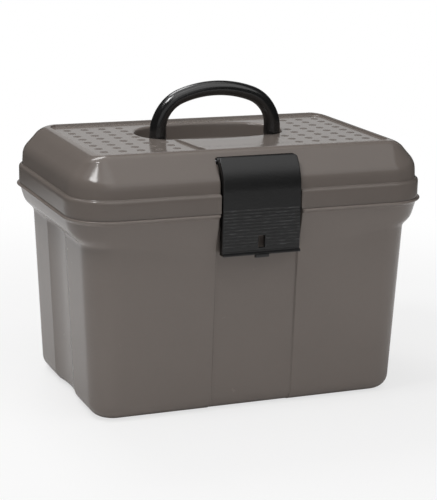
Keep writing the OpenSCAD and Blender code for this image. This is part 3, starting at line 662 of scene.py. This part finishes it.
def planPoint(column, length, depth, radius):
    x, y = length / 2 - radius, depth / 2 - radius
    kind = column["kind"]
    if kind == "front":
        return np.array([column["x"], -depth / 2])
    if kind == "frontRun":
        return np.array([between(bridgePlaces[-1][0], x, column["share"]), -depth / 2])
    if kind == "corner":
        turn = math.radians(90 * column["turn"] + (-90 if column["quarter"] < 0 else 0))
        return np.array([x + radius * math.cos(turn), column["quarter"] * y + radius * math.sin(turn)])
    if kind == "end":
        return np.array([length / 2, y * column["share"]])
    return np.array([x * column["share"], depth / 2])


def wellAngles(foot):  # the oval's angle for each column, so that the bridge runs on to the well
    middle = np.array([0, lidForm["wellMiddle"]])
    bridge = lidForm["bridgeHalf"]
    flare = (bridge + lidForm["bridgeFlare"]) / bridge
    angles, edge = [], None
    for column, point in zip(columns, foot):
        polar = math.atan2(*(point - middle)[::-1])
        if column["kind"] == "front" and column["x"] < bridge + 2:
            angles.append(wellAngleAt(point[0] * flare))
            edge = (polar, angles[-1])
        else:
            share = (polar - edge[0]) / (math.pi / 2 - edge[0])
            angles.append(between(edge[1], math.pi / 2, share))
    return angles


def domeProfile(dome):  # (inset, z) profile of the outside, from the skirt's foot to the panel
    f = lidForm
    wall, shoulder, edge = dome
    start, border = f["ledge"], f["ledge"] + edge[0]
    return roundedPath([
        (2.0, f["skirtLow"], 0), (0, f["skirtLow"], 0.15), (0, f["ledgeTop"], f["ledgeRound"]),
        (start, f["ledgeTop"], 0.9), (start + wall[0], *wall[1:]),
        (start + shoulder[0], *shoulder[1:]), (border, edge[1], 0.6),
        (border + f["innerWall"], f["panel"], 0.7),
        (border + f["innerWall"] + 2.0, f["panel"], 0)], 8)


def subdividedRows(rows, longest):  # extra rows, by the length of the front profile
    out = [rows[0]]
    for p, q in zip(rows, rows[1:]):
        count = max(1, math.ceil(np.linalg.norm(q[:2] - p[:2]) / longest))
        out += [between(p, q, (i + 1) / count) for i in range(count)]
    return np.array(out)


domeProfiles = [domeProfile(lidForm[key]) for key in ("frontDome", "endDome")]
lidPath = subdividedRows(np.hstack(domeProfiles), longest=3.0)
# where the pocket meets the dome, and the rows gathered there, by distance along the profile
pocketTop = np.array(lidForm["axis"]) + (lidForm["axisLean"], lidForm["axisRoom"])
gathered = (-3.2, -2.4, -1.7, -1.1, -0.6, -0.25, 0.0, 0.5, 1.0, 1.7, 2.4, 3.2)
gatherReach, pastEdge = 3.4, 0.5


def dressedPath():  # the profile with those rows, the pocket's last row and distances from its top
    target = np.array([pocketTop[0] - skirtFront, pocketTop[1]])
    along = pathLengths(lidPath[:, :2])
    near = along[np.argmin(np.linalg.norm(lidPath[:, :2] - target, axis=1))]
    kept = [a for a in along if not near - gatherReach < a < near + gatherReach]
    at = np.array(sorted(kept + [near + d for d in gathered]))
    return pathAt(lidPath, along, at), int(np.argmin(abs(at - near - pastEdge))), at - near


lidRows, pocketRow, fromPocketTop = dressedPath()


def pocketPath(grow, count):  # (y, z) profile of the pocket's back, or of its inner side
    f = lidForm
    radius, room, axis = f["bendRadius"] - grow, f["axisRoom"] + grow, np.array(f["axis"])
    bend = arcPoints(f["bend"], -radius, 0, -f["bendTurn"], 24)
    bend = bend[np.linalg.norm(bend - axis, axis=1) > room]
    start = math.degrees(math.atan2(*(bend[-1] - axis)[::-1])) % 360
    end = f["axisEnd"]
    if grow:
        end = 360 + math.degrees(math.asin((f["panel"] - f["wall"] - f["axis"][1]) / room))
    foot = np.array([[f["pocketBack"] + grow, f["skirtLow"]]])
    return resampled(np.vstack([foot, bend, arcPoints(axis, room, start, end, 30)]), count)


def pocketHalfAt(row):  # narrower near the pocket's rounded upper corners
    half, radius = lidForm["pocketHalf"], lidForm["pocketCorner"]
    d = fromPocketTop[row]
    if d >= 0:
        return half - radius * max(0.0, 1 - d / gathered[-1]) ** 2
    if d < -radius:
        return half
    return half - radius + math.sqrt(radius ** 2 - (radius + d) ** 2)


def outsideColumn(column, backPath):  # points of one column from the skirt's foot to the panel
    points = []
    edge, turn = lidForm["pocketEdge"], column["pocket"]
    slopes = np.gradient(lidRows[:, :2], axis=0)
    for row, (front, frontZ, end, endZ) in enumerate(lidRows):
        plan = planPoint(column, *lidPlan(front, end))
        point = np.array([plan[0], plan[1], between(frontZ, endZ, column["end"])])
        if turn == "in":
            point[0] = column["x"] * pocketHalfAt(row) / lidForm["pocketHalf"]
            if row <= pocketRow:
                point[1:] = backPath[row]
        elif turn is not None:  # rounded side edge
            point[0] = pocketHalfAt(row) + edge * (1 - math.sin(turn))
            if row <= pocketRow:
                tangent = slopes[row] / np.linalg.norm(slopes[row])
                sink = edge * (1 - math.cos(turn))
                point[1] += tangent[1] * sink
                point[2] -= tangent[0] * sink
        points.append(point)
    return points


topShares = (0.03, 0.07, 0.115, 0.16, 0.2, 0.23, 0.245, 0.26, 0.3, 0.36, 0.43, 0.5,
             0.57, 0.64, 0.71, 0.78, 0.84, 0.89, 0.93, 0.96, 0.98, 0.992, 1.0)
bridgeRows = 16  # rows of the outside, below the panel's foot, that the bridge may lift


def topColumn(foot, angle):  # from the panel's foot over the panel or bridge into the well
    f = lidForm
    floorRound, draft, edge = f["wellRound"], f["wellDraft"], f["wellEdge"]
    straight = f["wellFloor"] + floorRound
    lip, middle = rimPoint(angle, edge), np.array([0, f["wellMiddle"]])
    rows = [(between(foot, lip, t), f["panel"]) for t in topShares]
    rows += [(rimPoint(angle, edge * (1 - math.sin(a))), f["panel"] - edge * (1 - math.cos(a)))
             for a in np.radians(np.linspace(0, 90, 7))[1:]]
    rows += [(rimPoint(angle, -draft * t), between(f["panel"] - edge, straight, t))
             for t in (0.15, 0.5, 0.85)]
    rows += [(rimPoint(angle, -draft - floorRound * (1 - math.cos(a))),
              straight - floorRound * math.sin(a)) for a in np.radians(np.linspace(0, 90, 9))]
    rows += [(between(middle, rimPoint(angle, -draft - floorRound), t), f["wellFloor"])
             for t in (0.97, 0.7, 0.35)]
    return [np.array([*plan, z]) for plan, z in rows]


def raiseBridge(column, points, angle):  # lifts a column onto the bridge, from border to well
    f = lidForm
    if column["bridge"] == 0:
        return
    low = f["panel"] - f["wellEdge"]
    wall = rimPoint(angle, 0)
    for point in points:
        if point[1] >= wall[1] - 1e-6 or point[2] < low:
            break
        past = point[1] - f["crease"]
        share = np.clip(past / (wall[1] - f["crease"]), 0, 1)
        drop = f["creaseDrop"] * easedRamp(past / f["creaseRun"] + 0.5, 0.4)
        roll = math.sqrt(max(0.0, 1 - share ** f["bridgeRoll"]))
        lifted = low + (f["topHeight"] - drop - low) * roll
        point[2] = between(point[2], max(lifted, point[2]), column["bridge"])


# share of the way inwards and share of the rise, from the neck under the ledge to the roof
underRows = ((0.03, 0.24), (0.06, 0.33), (0.12, 0.4), (0.34, 0.55),
             (0.56, 0.7), (0.78, 0.85), (0.94, 0.96), (1.0, 1.0))


def insideColumn(column, angle, backPath):  # points of the underside, from the skirt's foot inwards
    f = lidForm
    wall, inset = f["wall"], f["neckInset"]
    hollow = (f["skirt"][0] - 2 * wall, f["skirt"][1] - 2 * wall, f["skirt"][2] - wall)
    neck = (hollow[0] - 2 * inset, hollow[1] - 2 * inset, hollow[2] - inset)
    margin = wall * f["roofMargin"]
    roof = (f["top"][0] + 2 * margin, f["top"][1] + 2 * margin, f["top"][2] + margin)
    under, low = f["panel"] - wall, f["wellFloor"] - wall
    plans = [(hollow, f["skirtLow"]), (hollow, 224.0), (hollow, f["ledgeTop"] - 5.2),
             (neck, f["ledgeTop"] - 1.3)]
    for share, rise in underRows:
        plan = [between(a, b, share) for a, b in zip(neck, roof)]
        plans.append((plan, between(f["ledgeTop"], under, rise)))
    points = []
    for row, (plan, z) in enumerate(plans):
        point = np.array([*planPoint(column, *plan), z])
        if column["pocket"] is not None:
            point[0] = column["x"] * ((f["pocketHalf"] + wall) / f["pocketHalf"])
            if column["pocket"] == "in":
                point[1:] = backPath[row]
            else:
                point[0] += 0.25 * (1 - math.sin(column["pocket"]))
        elif column["kind"] == "front":
            point[0] = max(point[0], f["pocketHalf"] + wall + 0.3 + 0.2 * (column["x"] - 46))
        points.append(point)
    outer, rim = points[-1][:2].copy(), wellPoint(angle, wall)
    rows = [(between(outer, rim, t), under) for t in (0.25, 0.5, 0.75, 0.97)]
    rows += [(wellPoint(angle, wall + out), z) for out, z in (
        (1.0, under), (0.0, under - 1.0), (-0.5, between(under, low, 0.5)),
        (-1.0, low + 2.0), (-2.0, low + 0.6), (-4.0, low))]
    rows += [(between(np.array([0, f["wellMiddle"]]), wellPoint(angle, wall - 4.0), 0.6), low)]
    return points + [np.array([*plan, z]) for plan, z in rows]


def lidShell():
    back = pocketPath(0.0, pocketRow + 1)
    innerBack = pocketPath(lidForm["wall"], 4 + len(underRows))
    footPlan = lidPlan(lidRows[-1][0], lidRows[-1][2])
    angles = wellAngles([planPoint(column, *footPlan) for column in columns])
    halves = []
    for column, angle in zip(columns, angles):
        outside = outsideColumn(column, back)
        start = len(outside) - bridgeRows
        outside += topColumn(outside[-1][:2], angle)
        raiseBridge(column, outside[start:], angle)
        halves.append(np.array(outside[::-1] + insideColumn(column, angle, innerBack)))
    halves = np.array(halves)
    halves[0, :, 0] = halves[-1, :, 0] = 0
    return loft([mirroredRing(halves[:, row]) for row in range(halves.shape[1])])


def lidKnuckles():
    f, t = lidForm, tubForm
    y, z = t["hinge"]
    half, inset = t["lidKnuckle"] / 2, t["webInset"]
    root, low, high = -skirtFront - 1.0, f["skirtLow"] + 0.3, z + t["knuckle"]
    arm = [(root, low), (y, low), (y + 1.0, high - 1.2), (y - 2.0, high - 0.2),
           (root, low + f["armHeight"])]
    shells = []
    for x in (-t["hingeOffset"], t["hingeOffset"]):
        shells.append(sleeve(x - half, x + half, t["hinge"], t["knuckle"], t["pinBore"], t["edge"]))
        shells.append(prism(arm, x - half + inset, x + half - inset))
    return shells


def pivotBearings():  # bearings of the handle's pins, on the outside of the well's wall
    f = lidForm
    return [sleeve(*sorted(side * x for x in f["bearing"]), f["pivot"],
                   f["bearingRadius"], f["bearingBore"], f["bearingEdge"]) for side in (-1, 1)]


lid = makePiece("lidShell", [lidShell(), *lidKnuckles(), *pivotBearings()])
settle(lid, "lid", lidPlastic, ["lid"])
print("lid:", len(lid.data.polygons), "faces")


# geometry trees for what repeats

def newTree(name, inputs):  # tree with named inputs; its inputs as wires, and their identifiers
    tree = bpy.data.node_groups.new(name, "GeometryNodeTree")
    kinds = {float: "NodeSocketFloat", int: "NodeSocketInt", tuple: "NodeSocketVector"}
    tree.interface.new_socket("Geometry", in_out="OUTPUT", socket_type="NodeSocketGeometry")
    keys = {}
    for label, value in inputs.items():
        kind = kinds.get(type(value), "NodeSocketMaterial")
        keys[label] = tree.interface.new_socket(label, in_out="INPUT", socket_type=kind).identifier
    entry = tree.nodes.new("NodeGroupInput")
    wires = {label: Wire(tree, entry.outputs[label]) for label in inputs}
    return tree, wires, keys


def closeTree(tree, shape, finish):  # realised instances with their material
    real = shape.add("GeometryNodeRealizeInstances", Geometry=shape)
    done = real.add("GeometryNodeSetMaterial", Geometry=real, Material=finish)
    tree.links.new(done.socket, tree.nodes.new("NodeGroupOutput").inputs[0])


def grownPiece(name, tree, keys, values):  # plain mesh from a tree's result
    carrier = linked(name + "Carrier", bpy.data.meshes.new(name + "Carrier"))
    modifier = carrier.modifiers.new("grow", "NODES")
    modifier.node_group = tree
    for label, value in values.items():
        modifier[keys[label]] = value
    graph = bpy.context.evaluated_depsgraph_get()
    mesh = bpy.data.meshes.new_from_object(carrier.evaluated_get(graph))
    mesh.name = name
    carrier.modifiers.remove(modifier)
    bpy.data.objects.remove(carrier)
    return linked(name, mesh)


dotForm = {
    "Pitch X": 19.75 * mm, "Pitch Y": 18.7 * mm, "Columns": 16, "Rows": 10,
    "Radius": 4.5 * mm, "Height": 0.16 * mm, "Well Margin": 6.5 * mm, "Bridge Margin": 7.5 * mm,
    "Bridge End": -4.0 * mm, "Half Length": 157.0 * mm, "Half Depth": 88.0 * mm,
    "Middle": (-0.8 * mm, 1.2 * mm, lidForm["panel"] * mm), "Finish": mattSpots,
}


def dotTree():  # a square field of spots, kept off the border, the well and the bridge
    tree, put, keys = newTree("topSpots", dotForm)
    wire = Wire(tree)
    field = wire.add("GeometryNodeMeshGrid", Vertices_X=put["Columns"], Vertices_Y=put["Rows"],
                     Size_X=put["Pitch X"] * (put["Columns"] - 1.0),
                     Size_Y=put["Pitch Y"] * (put["Rows"] - 1.0))
    placed = wire.add("GeometryNodeTransform", Geometry=field, Translation=put["Middle"])
    spot = wire.add("GeometryNodeInputPosition")
    x, y = (spot.add("ShaderNodeSeparateXYZ", out=k, Vector=spot) for k in range(2))
    fromWell = (y - lidForm["wellMiddle"] * mm).size()
    a, b = (v * mm + put["Well Margin"] for v in lidForm["well"])
    power = lidForm["wellPower"]
    inWell = ((x.size() / a) ** power + (fromWell / b) ** power) < 1.0
    onBridge = (x.size() < lidForm["bridgeHalf"] * mm + put["Bridge Margin"]) * (y < put["Bridge End"])
    offPanel = (x.size() > put["Half Length"]) + (y.size() > put["Half Depth"])
    kept = wire.add("GeometryNodeDeleteGeometry", {"domain": "POINT"}, Geometry=placed,
                    Selection=(inWell + onBridge + offPanel) > 0.5)
    disc = wire.add("GeometryNodeMeshCone", Vertices=24, Depth=put["Height"],
                    Radius_Top=put["Radius"] * 0.95, Radius_Bottom=put["Radius"])
    shape = wire.add("GeometryNodeInstanceOnPoints", Points=kept, Instance=disc)
    closeTree(tree, shape, put["Finish"])
    return tree, keys


dots = grownPiece("topSpots", *dotTree(), dotForm)
settle(dots, "lid")
print("spots:", len(dots.data.polygons), "faces")


# latch: bent plate with side flanges, lip, slot, ridges and barrel

latchForm = {
    "half": 43.25, "face": -128.0, "low": 172.0, "straight": 66.0,
    "bend": (-80.5, 238.0), "bendRadius": 47.5, "turn": 45.0,
    "plate": 3.2, "depth": 8.0, "flange": 2.6, "flangeEdge": 0.3,
    "edge": 1.3, "corner": 3.2, "topRound": 0.8,
    "slotHalf": 3.75, "slot": (6.4, 19.4), "lipReach": 2.9, "lipHeight": 1.6,
    "tabHalf": 7.5, "tabDrop": 3.2, "tabRise": 1.2, "tabDepth": 3.0,
    "barrel": 3.7, "bore": 1.58, "barrelInset": 0.3, "barrelEdge": 0.4,
    "hookHalf": 12.0, "hookTop": 188.05,
}
latchLength = latchForm["straight"] + math.radians(latchForm["turn"]) * latchForm["bendRadius"]
# columns across half the plate; rows up the plate at the lip, on the plate and down from its top
plateColumns = (0, latchForm["slotHalf"], 12, 24, 34)
lipRows = (0.0, 0.25, 0.5, 0.9, 1.3, 1.6, 1.8, 2.1, 2.4, latchForm["flange"])
plateRows = (latchForm["flange"], 2.8, 3.0, 3.3, 3.6, 4.0, 4.4, 4.9, 5.6, latchForm["slot"][0],
             9.0, 13.0, 17.0, latchForm["slot"][1], 26.0, 40.0, 55.0, 64.0)
topRows = (latchForm["flange"], 2.0, 1.5, 1.0, 0.6, 0.3, 0.1, 0.0)


def latchPoint(s, n):  # (y, z) at a distance along the plate and a depth behind its face
    f = latchForm
    if s <= f["straight"]:
        return f["face"] + n, f["low"] + s
    turn = (s - f["straight"]) / f["bendRadius"]
    radius = f["bendRadius"] - n
    return f["bend"][0] - radius * math.cos(turn), f["bend"][1] + radius * math.sin(turn)


def latchSection(deep, face):  # (x, depth) loop across the plate; deep is the depth of its inner face
    f = latchForm
    half, edge, depth, soft = f["half"], f["edge"], f["depth"], f["flangeEdge"]
    inner = half - f["flange"]
    right = [(x, face) for x in (*plateColumns, half - edge - 0.6)]
    right += [(half - edge + edge * math.sin(a), face + edge - edge * math.cos(a))
              for a in np.radians(np.linspace(0, 90, 7))]
    right += [(half, between(face + edge, depth, 0.5)), (half, depth - soft), (half - soft, depth),
              (inner + soft, depth), (inner, depth - soft),
              (inner, between(depth, deep, 0.5)), (inner, deep)]
    right += [(x, deep) for x in plateColumns[::-1]]
    return right + [(-x, n) for x, n in right[-2:0:-1]]


def lipLine():  # (distance up the plate, depth) of the proud lip and the groove above it
    reach, top = latchForm["lipReach"], latchForm["lipHeight"]
    return roundedPath([(-2.0, -2.0, 0), (0.0, -reach, 0.5), (top, -reach, 0.45), (top + 1.3, 0.3, 0.5),
                        (top + 2.1, 0.3, 0.4), (top + 2.9, 0.0, 0.4), (9.0, 0.0, 0)], 4)


def latchShell():
    f = latchForm
    end, corner, soft = latchLength, f["corner"], f["topRound"]
    lip = lipLine()
    rows = [(s, f["depth"]) for s in lipRows] + [(s, f["plate"]) for s in plateRows]
    rows += [(s, f["plate"]) for s in np.linspace(f["straight"], end - f["flange"] - 0.9, 18)]
    rows += [(end - f["flange"] - 0.4, f["plate"]), (end - f["flange"], f["plate"])]
    rows += [(end - d, f["depth"]) for d in topRows]
    rings = []
    for s, deep in rows:
        past, over = max(0.0, corner - (end - s)), max(0.0, soft - (end - s)) / soft
        half = f["half"] - corner + math.sqrt(corner ** 2 - past ** 2)
        face = np.interp(s, lip[:, 0], lip[:, 1]) + soft * (1 - math.sqrt(1 - over ** 2))
        rings.append([(x * half / f["half"], *latchPoint(s, n)) for x, n in latchSection(deep, face)])
    verts, faces = loft(rings)
    return cutSlot(verts, faces, rows, len(rings[0]))


def cutSlot(verts, faces, rows, count):  # opens the slot between the two skins of the plate
    low, high = (next(k for k, (s, _) in enumerate(rows) if abs(s - end) < 1e-6)
                 for end in latchForm["slot"])
    deep = count // 2
    face, back = (count - 1, 0, 1), (deep + 1, deep, deep - 1)  # the three columns across the slot
    gone = set()
    for k in range(low, high):
        here, there = k * count, (k + 1) * count
        for skin in (face, back):
            for i, j in zip(skin, skin[1:]):
                gone.add(frozenset((here + i, here + j, there + j, there + i)))
    kept = [q for q in faces if frozenset(q) not in gone]
    for k in range(low, high):
        here, there = k * count, (k + 1) * count
        for i, j in ((face[0], back[0]), (face[-1], back[-1])):
            kept.append((here + i, there + i, there + j, here + j))
    for k in (low, high):
        for a in range(2):
            kept.append(tuple(k * count + i for i in (face[a], face[a + 1], back[a + 1], back[a])))
    return verts, kept


def latchTab():  # deeper tab in the middle of the lip
    f = latchForm
    front, low, top = f["face"] - f["lipReach"], f["low"] - f["tabDrop"], f["low"] + f["tabRise"]
    back, start = front + f["tabDepth"], (front + f["tabDepth"] / 2, low, 0)
    outline = roundedPath([start, (front, low, 0.5), (front, top, 0.4), (back, top, 0.4),
                           (back, low, 0.5), start], 3)[:-1]
    return prism(outline, -f["tabHalf"], f["tabHalf"])


def latchHooks():  # hooks behind the plate that snap under the tub's catch
    f = latchForm
    root, tip, top = f["face"] + f["plate"] - 1.0, f["face"] + f["depth"] - 0.5, f["hookTop"]
    outline = [(root, top), (tip, top), (tip, top - 2.2), (root, top - 6.7)]
    middle, half = 2 * f["slotHalf"] + f["hookHalf"], f["hookHalf"]
    return [prism(outline, side * middle - half, side * middle + half) for side in (-1, 1)]


def latchBarrel():
    f = latchForm
    half = f["half"] - f["barrelInset"]
    return sleeve(-half, half, lidForm["axis"], f["barrel"], f["bore"], f["barrelEdge"])


latch = makePiece("latchPlate", [latchShell(), latchTab(), *latchHooks(), latchBarrel()])
settle(latch, "latch", blackGrained, ["latch"])
print("latch:", len(latch.data.polygons), "faces")

ridgeForm = {
    "Count": 12, "Pitch": 3.4 * mm, "Start": (0.0, -128.0 * mm, 181.0 * mm),
    "Length": 84.6 * mm, "Gap": 9.0 * mm, "Radius": 0.8 * mm, "Flatness": 0.62,
    "Slot Top": 192.4 * mm, "Finish": blackPaintedGlints,
}


def ridgeTree():  # fine ridges across the plate, broken at the slot
    tree, put, keys = newTree("gripRidges", ridgeForm)
    wire = Wire(tree)
    step = wire.add("ShaderNodeCombineXYZ", Z=put["Pitch"])
    line = wire.add("GeometryNodeMeshLine", Count=put["Count"],
                    Start_Location=put["Start"], Offset=step)
    spot = wire.add("GeometryNodeInputPosition")
    lower = spot.add("ShaderNodeSeparateXYZ", out=2, Vector=spot) < put["Slot Top"]
    side = (put["Length"] - put["Gap"]) * 0.5
    shift = (side + put["Gap"]) * 0.5
    join = tree.nodes.new("GeometryNodeJoinGeometry")
    flat = wire.add("ShaderNodeCombineXYZ", X=1.0, Y=put["Flatness"], Z=1.0)
    whole = (1 - lower, put["Length"], 0.0)
    right, left = (lower, side, shift), (lower, side, shift * -1.0)
    for chosen, length, move in (whole, right, left):
        bar = wire.add("GeometryNodeMeshCylinder", Vertices=10, Radius=put["Radius"], Depth=length)
        turned = wire.add("GeometryNodeTransform", Geometry=bar, Rotation=(0.0, math.pi / 2, 0.0))
        moved = wire.add("ShaderNodeCombineXYZ", X=move)
        rib = wire.add("GeometryNodeTransform", Geometry=turned, Translation=moved, Scale=flat)
        ribs = wire.add("GeometryNodeInstanceOnPoints", Points=line, Selection=chosen, Instance=rib)
        tree.links.new(ribs.socket, join.inputs[0])
    closeTree(tree, Wire(tree, join.outputs[0]), put["Finish"])
    return tree, keys


ridges = grownPiece("gripRidges", *ridgeTree(), ridgeForm)
smoothShaded(ridges.data, meshForm["ridgeAngle"])
settle(ridges, "latch")
print("ridges:", len(ridges.data.polygons), "faces")


# handle: round bail with flattened eyes

handleForm = {
    "half": 66.5, "rise": 61.0, "bar": 8.0, "shoulder": 40.0, "turn": 70.0, "grip": 117.5, "leg": 16.3,
    "flare": 1.4, "flareFrom": 8.0, "flareRun": 34.0, "slimRun": 10.0,
    "eyeHalf": 4.5, "eye": 8.0, "eyeEdge": 0.8, "bore": 3.08, "sides": 40,
}
legRows = (-0.5, 1.5, 3.5, 5.5, 7.5, 9.5, 12.0, handleForm["leg"])


def bailLine():  # (x, z, heading) along the bar's middle line, about the pivots
    f = handleForm
    line = [(f["half"], z, 0.0) for z in legRows]
    x = f["half"] - f["shoulder"]
    for a in np.radians(np.linspace(0, f["turn"], 22)[1:]):
        line.append((x + f["shoulder"] * math.cos(a), f["leg"] + f["shoulder"] * math.sin(a), a))
    for a in np.radians(np.linspace(f["turn"], 90, 12)[1:]):
        line.append((f["grip"] * math.cos(a), f["rise"] - f["grip"] + f["grip"] * math.sin(a), a))
    return line + [(-x, z, math.pi - a) for x, z, a in line[-2::-1]]


def bail():
    f = handleForm
    y0, z0 = lidForm["pivot"]
    turns = np.linspace(0, 2 * math.pi, f["sides"], endpoint=False)
    rings = []
    for x, z, heading in bailLine():
        wide = f["bar"] + f["flare"] * (1 - easedRamp((z - f["flareFrom"]) / f["flareRun"], 0.4))
        slim = between(f["eyeHalf"] - 0.4, wide, easedRamp((z + 1.0) / f["slimRun"], 0.45))
        out, up = slim * math.cos(heading), slim * math.sin(heading)
        rings.append([(x + out * math.cos(a), y0 + f["bar"] * math.sin(a), z0 + z + up * math.cos(a))
                      for a in turns])
    return loft(rings)


def bailEyes():
    f = handleForm
    wide = f["eyeHalf"]
    return [sleeve(x - wide, x + wide, lidForm["pivot"], f["eye"], f["bore"], f["eyeEdge"])
            for x in (-f["half"], f["half"])]


handle = makePiece("carryBail", [bail(), *bailEyes()])
settle(handle, "handle", blackSmooth, ["carry_handle"])
print("handle:", len(handle.data.polygons), "faces")


# tray and pins keep the CAD's shapes; the tray gets soft edges

trayForm = {"edge": 0.0006, "steps": 2, "weld": 1e-6,
            "flatAngle": 0.5, "sharpAngle": 30, "edgeAngle": 40}


def softTray():
    f = trayForm
    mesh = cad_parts["lift_out_tray"].data.copy()
    mesh.name = "trayShell"
    shape = bmesh.new()
    shape.from_mesh(mesh)
    bmesh.ops.remove_doubles(shape, verts=shape.verts, dist=f["weld"])
    bmesh.ops.dissolve_limit(shape, angle_limit=math.radians(f["flatAngle"]),
                             verts=shape.verts, edges=shape.edges)
    shape.to_mesh(mesh)
    shape.free()
    smoothShaded(mesh, f["sharpAngle"])
    piece = linked("trayShell", mesh)
    bevel = piece.modifiers.new("edges", "BEVEL")
    bevel.width, bevel.segments = f["edge"], f["steps"]
    bevel.limit_method, bevel.angle_limit = "ANGLE", math.radians(f["edgeAngle"])
    return piece


tray = softTray()
settle(tray, "tray", greySatin, ["lift_out_tray"])
for name in ("hinge_pin_left", "hinge_pin_right", "latch_pin", "handle_pin_left", "handle_pin_right"):
    dress(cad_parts[name], steel)
print("tray and pins dressed")


# stage, light and camera

# white is where the floor turns to full white for the camera; reflections see a pale sheet of floor
stageForm = {
    "dark": (0.94,) * 3, "light": (0.95,) * 3, "reach": 12.0, "drop": 0.0002, "ambient": 0.05,
    "nearWhite": 0.7, "white": (0.35, 0.9), "mirrored": 0.8, "mirroredSky": 0.03,
    "sheetFrom": (0.3, 0.5), "sheetEnd": (0.85, 1.3),
}


def rays(tree):  # camera rays, and those that reflections and clear things send on
    path = tree.nodes.new("ShaderNodeLightPath")
    camera, glossy, through = (Wire(tree, path.outputs[f"Is {kind} Ray"])
                               for kind in ("Camera", "Glossy", "Transmission"))
    return camera, (glossy + through).maths("MINIMUM", 1.0)


def paleFloor():
    f = stageForm
    r = f["reach"]
    mesh = bpy.data.meshes.new("paleFloor")
    mesh.from_pydata([(-r, -r, 0), (r, -r, 0), (r, r, 0), (-r, r, 0)], [], [(0, 1, 2, 3)])
    floor = linked("paleFloor", mesh)
    floor.location.z = -f["drop"]
    material, shader, place = newFinish("paleFloor")
    feed(shader, Base_Color=tone(noise(place, 3, 2), f), Roughness=0.9, Specular_IOR_Level=0.1)
    away = place.add("ShaderNodeVectorMath", {"operation": "LENGTH"}, out="Value", at0=place)
    far, sheet, beyond = (
        away.add("ShaderNodeMapRange", {"interpolation_type": "SMOOTHSTEP"}, Value=away,
                 From_Min=f[key][0], From_Max=f[key][1]) for key in ("white", "sheetFrom", "sheetEnd"))
    tree = material.node_tree
    camera, mirrored = rays(tree)
    white = camera * (f["nearWhite"] + (1 - f["nearWhite"]) * far) + mirrored * sheet
    seen = f["mirrored"] - beyond * (f["mirrored"] - f["mirroredSky"])
    glow = place.add("ShaderNodeEmission", Color=(1, 1, 1, 1), Strength=camera + mirrored * seen)
    mixed = place.add("ShaderNodeMixShader", at0=white, at1=Wire(tree, shader.outputs[0]), at2=glow)
    tree.links.new(mixed.socket, tree.nodes["Material Output"].inputs["Surface"])
    mesh.materials.append(material)


def studioSky():
    f = stageForm
    world = bpy.data.worlds.new("studioSky")
    world.use_nodes = True
    camera, mirrored = rays(world.node_tree)
    strength = camera + mirrored * f["mirroredSky"] + (1 - camera - mirrored) * f["ambient"]
    feed(world.node_tree.nodes["Background"], Color=(1, 1, 1, 1), Strength=strength)
    bpy.context.scene.world = world


lampForm = [  # name, place, aim, size, power in watts
    ("keyHigh", (-0.69, -0.26, 1.39), (0, 0, 0.2), (0.34, 0.27), 5.8),
    ("topSoft", (-0.4, 0.2, 2.4), (-0.1, 0, 0.2), (2.6, 2.6), 18.5),
    ("frontHigh", (0.5, -1.4, 2.0), (0, -0.2, 0.1), (2.6, 2.0), 17.0),
    ("frontLow", (-0.3, -2.6, 0.8), (0, 0, 0.1), (2.4, 1.2), 3.5),
    ("rearTop", (-0.2, 1.1, 1.8), (0, 0, 0.25), (0.8, 0.6), 9.5),
    ("backCard", (0.83, 2.07, 0.85), (0, 0, 0.3), (1.4, 1.0), 2.3),
]


def lamps():
    for name, place, aim, size, power in lampForm:
        data = bpy.data.lights.new(name, "AREA")
        data.shape, data.size, data.size_y, data.energy = "RECTANGLE", *size, power
        lamp = linked(name, data)
        lamp.location = place
        lamp.rotation_euler = (Vector(aim) - Vector(place)).to_track_quat("-Z", "Y").to_euler()


# angles in degrees, distances in metres; focal length, frame and its middle in the photograph's pixels
cameraForm = {
    "azimuth": -21.93, "elevation": 14.0, "roll": 1.04, "distance": 1.78478, "height": 0.14482,
    "focal": 1618.64, "frame": (437, 500), "middle": (214.92, 250.48), "sensor": 36.0,
}


def photoCamera():
    f = cameraForm
    a, e, turn = (math.radians(f[k]) for k in ("azimuth", "elevation", "roll"))
    back = Vector((math.sin(a) * math.cos(e), -math.cos(a) * math.cos(e), math.sin(e)))
    right = (-back).cross(Vector((0, 0, 1))).normalized()
    up = right.cross(-back)
    across = right * math.cos(turn) + up * math.sin(turn)
    above = up * math.cos(turn) - right * math.sin(turn)
    data = bpy.data.cameras.new("photoCamera")
    longest = max(f["frame"])
    data.sensor_width = f["sensor"]
    data.lens = f["focal"] * f["sensor"] / longest
    data.shift_x = (f["frame"][0] / 2 - f["middle"][0]) / longest
    data.shift_y = (f["middle"][1] - f["frame"][1] / 2) / longest
    camera = linked("photoCamera", data)
    camera.matrix_world = Matrix((across, above, back)).transposed().to_4x4()
    camera.location = Vector((0, 0, f["height"])) + back * f["distance"]
    bpy.context.scene.camera = camera


paleFloor()
studioSky()
lamps()
photoCamera()
bpy.context.scene.view_settings.view_transform = "Standard"
print("stage, light and camera set")
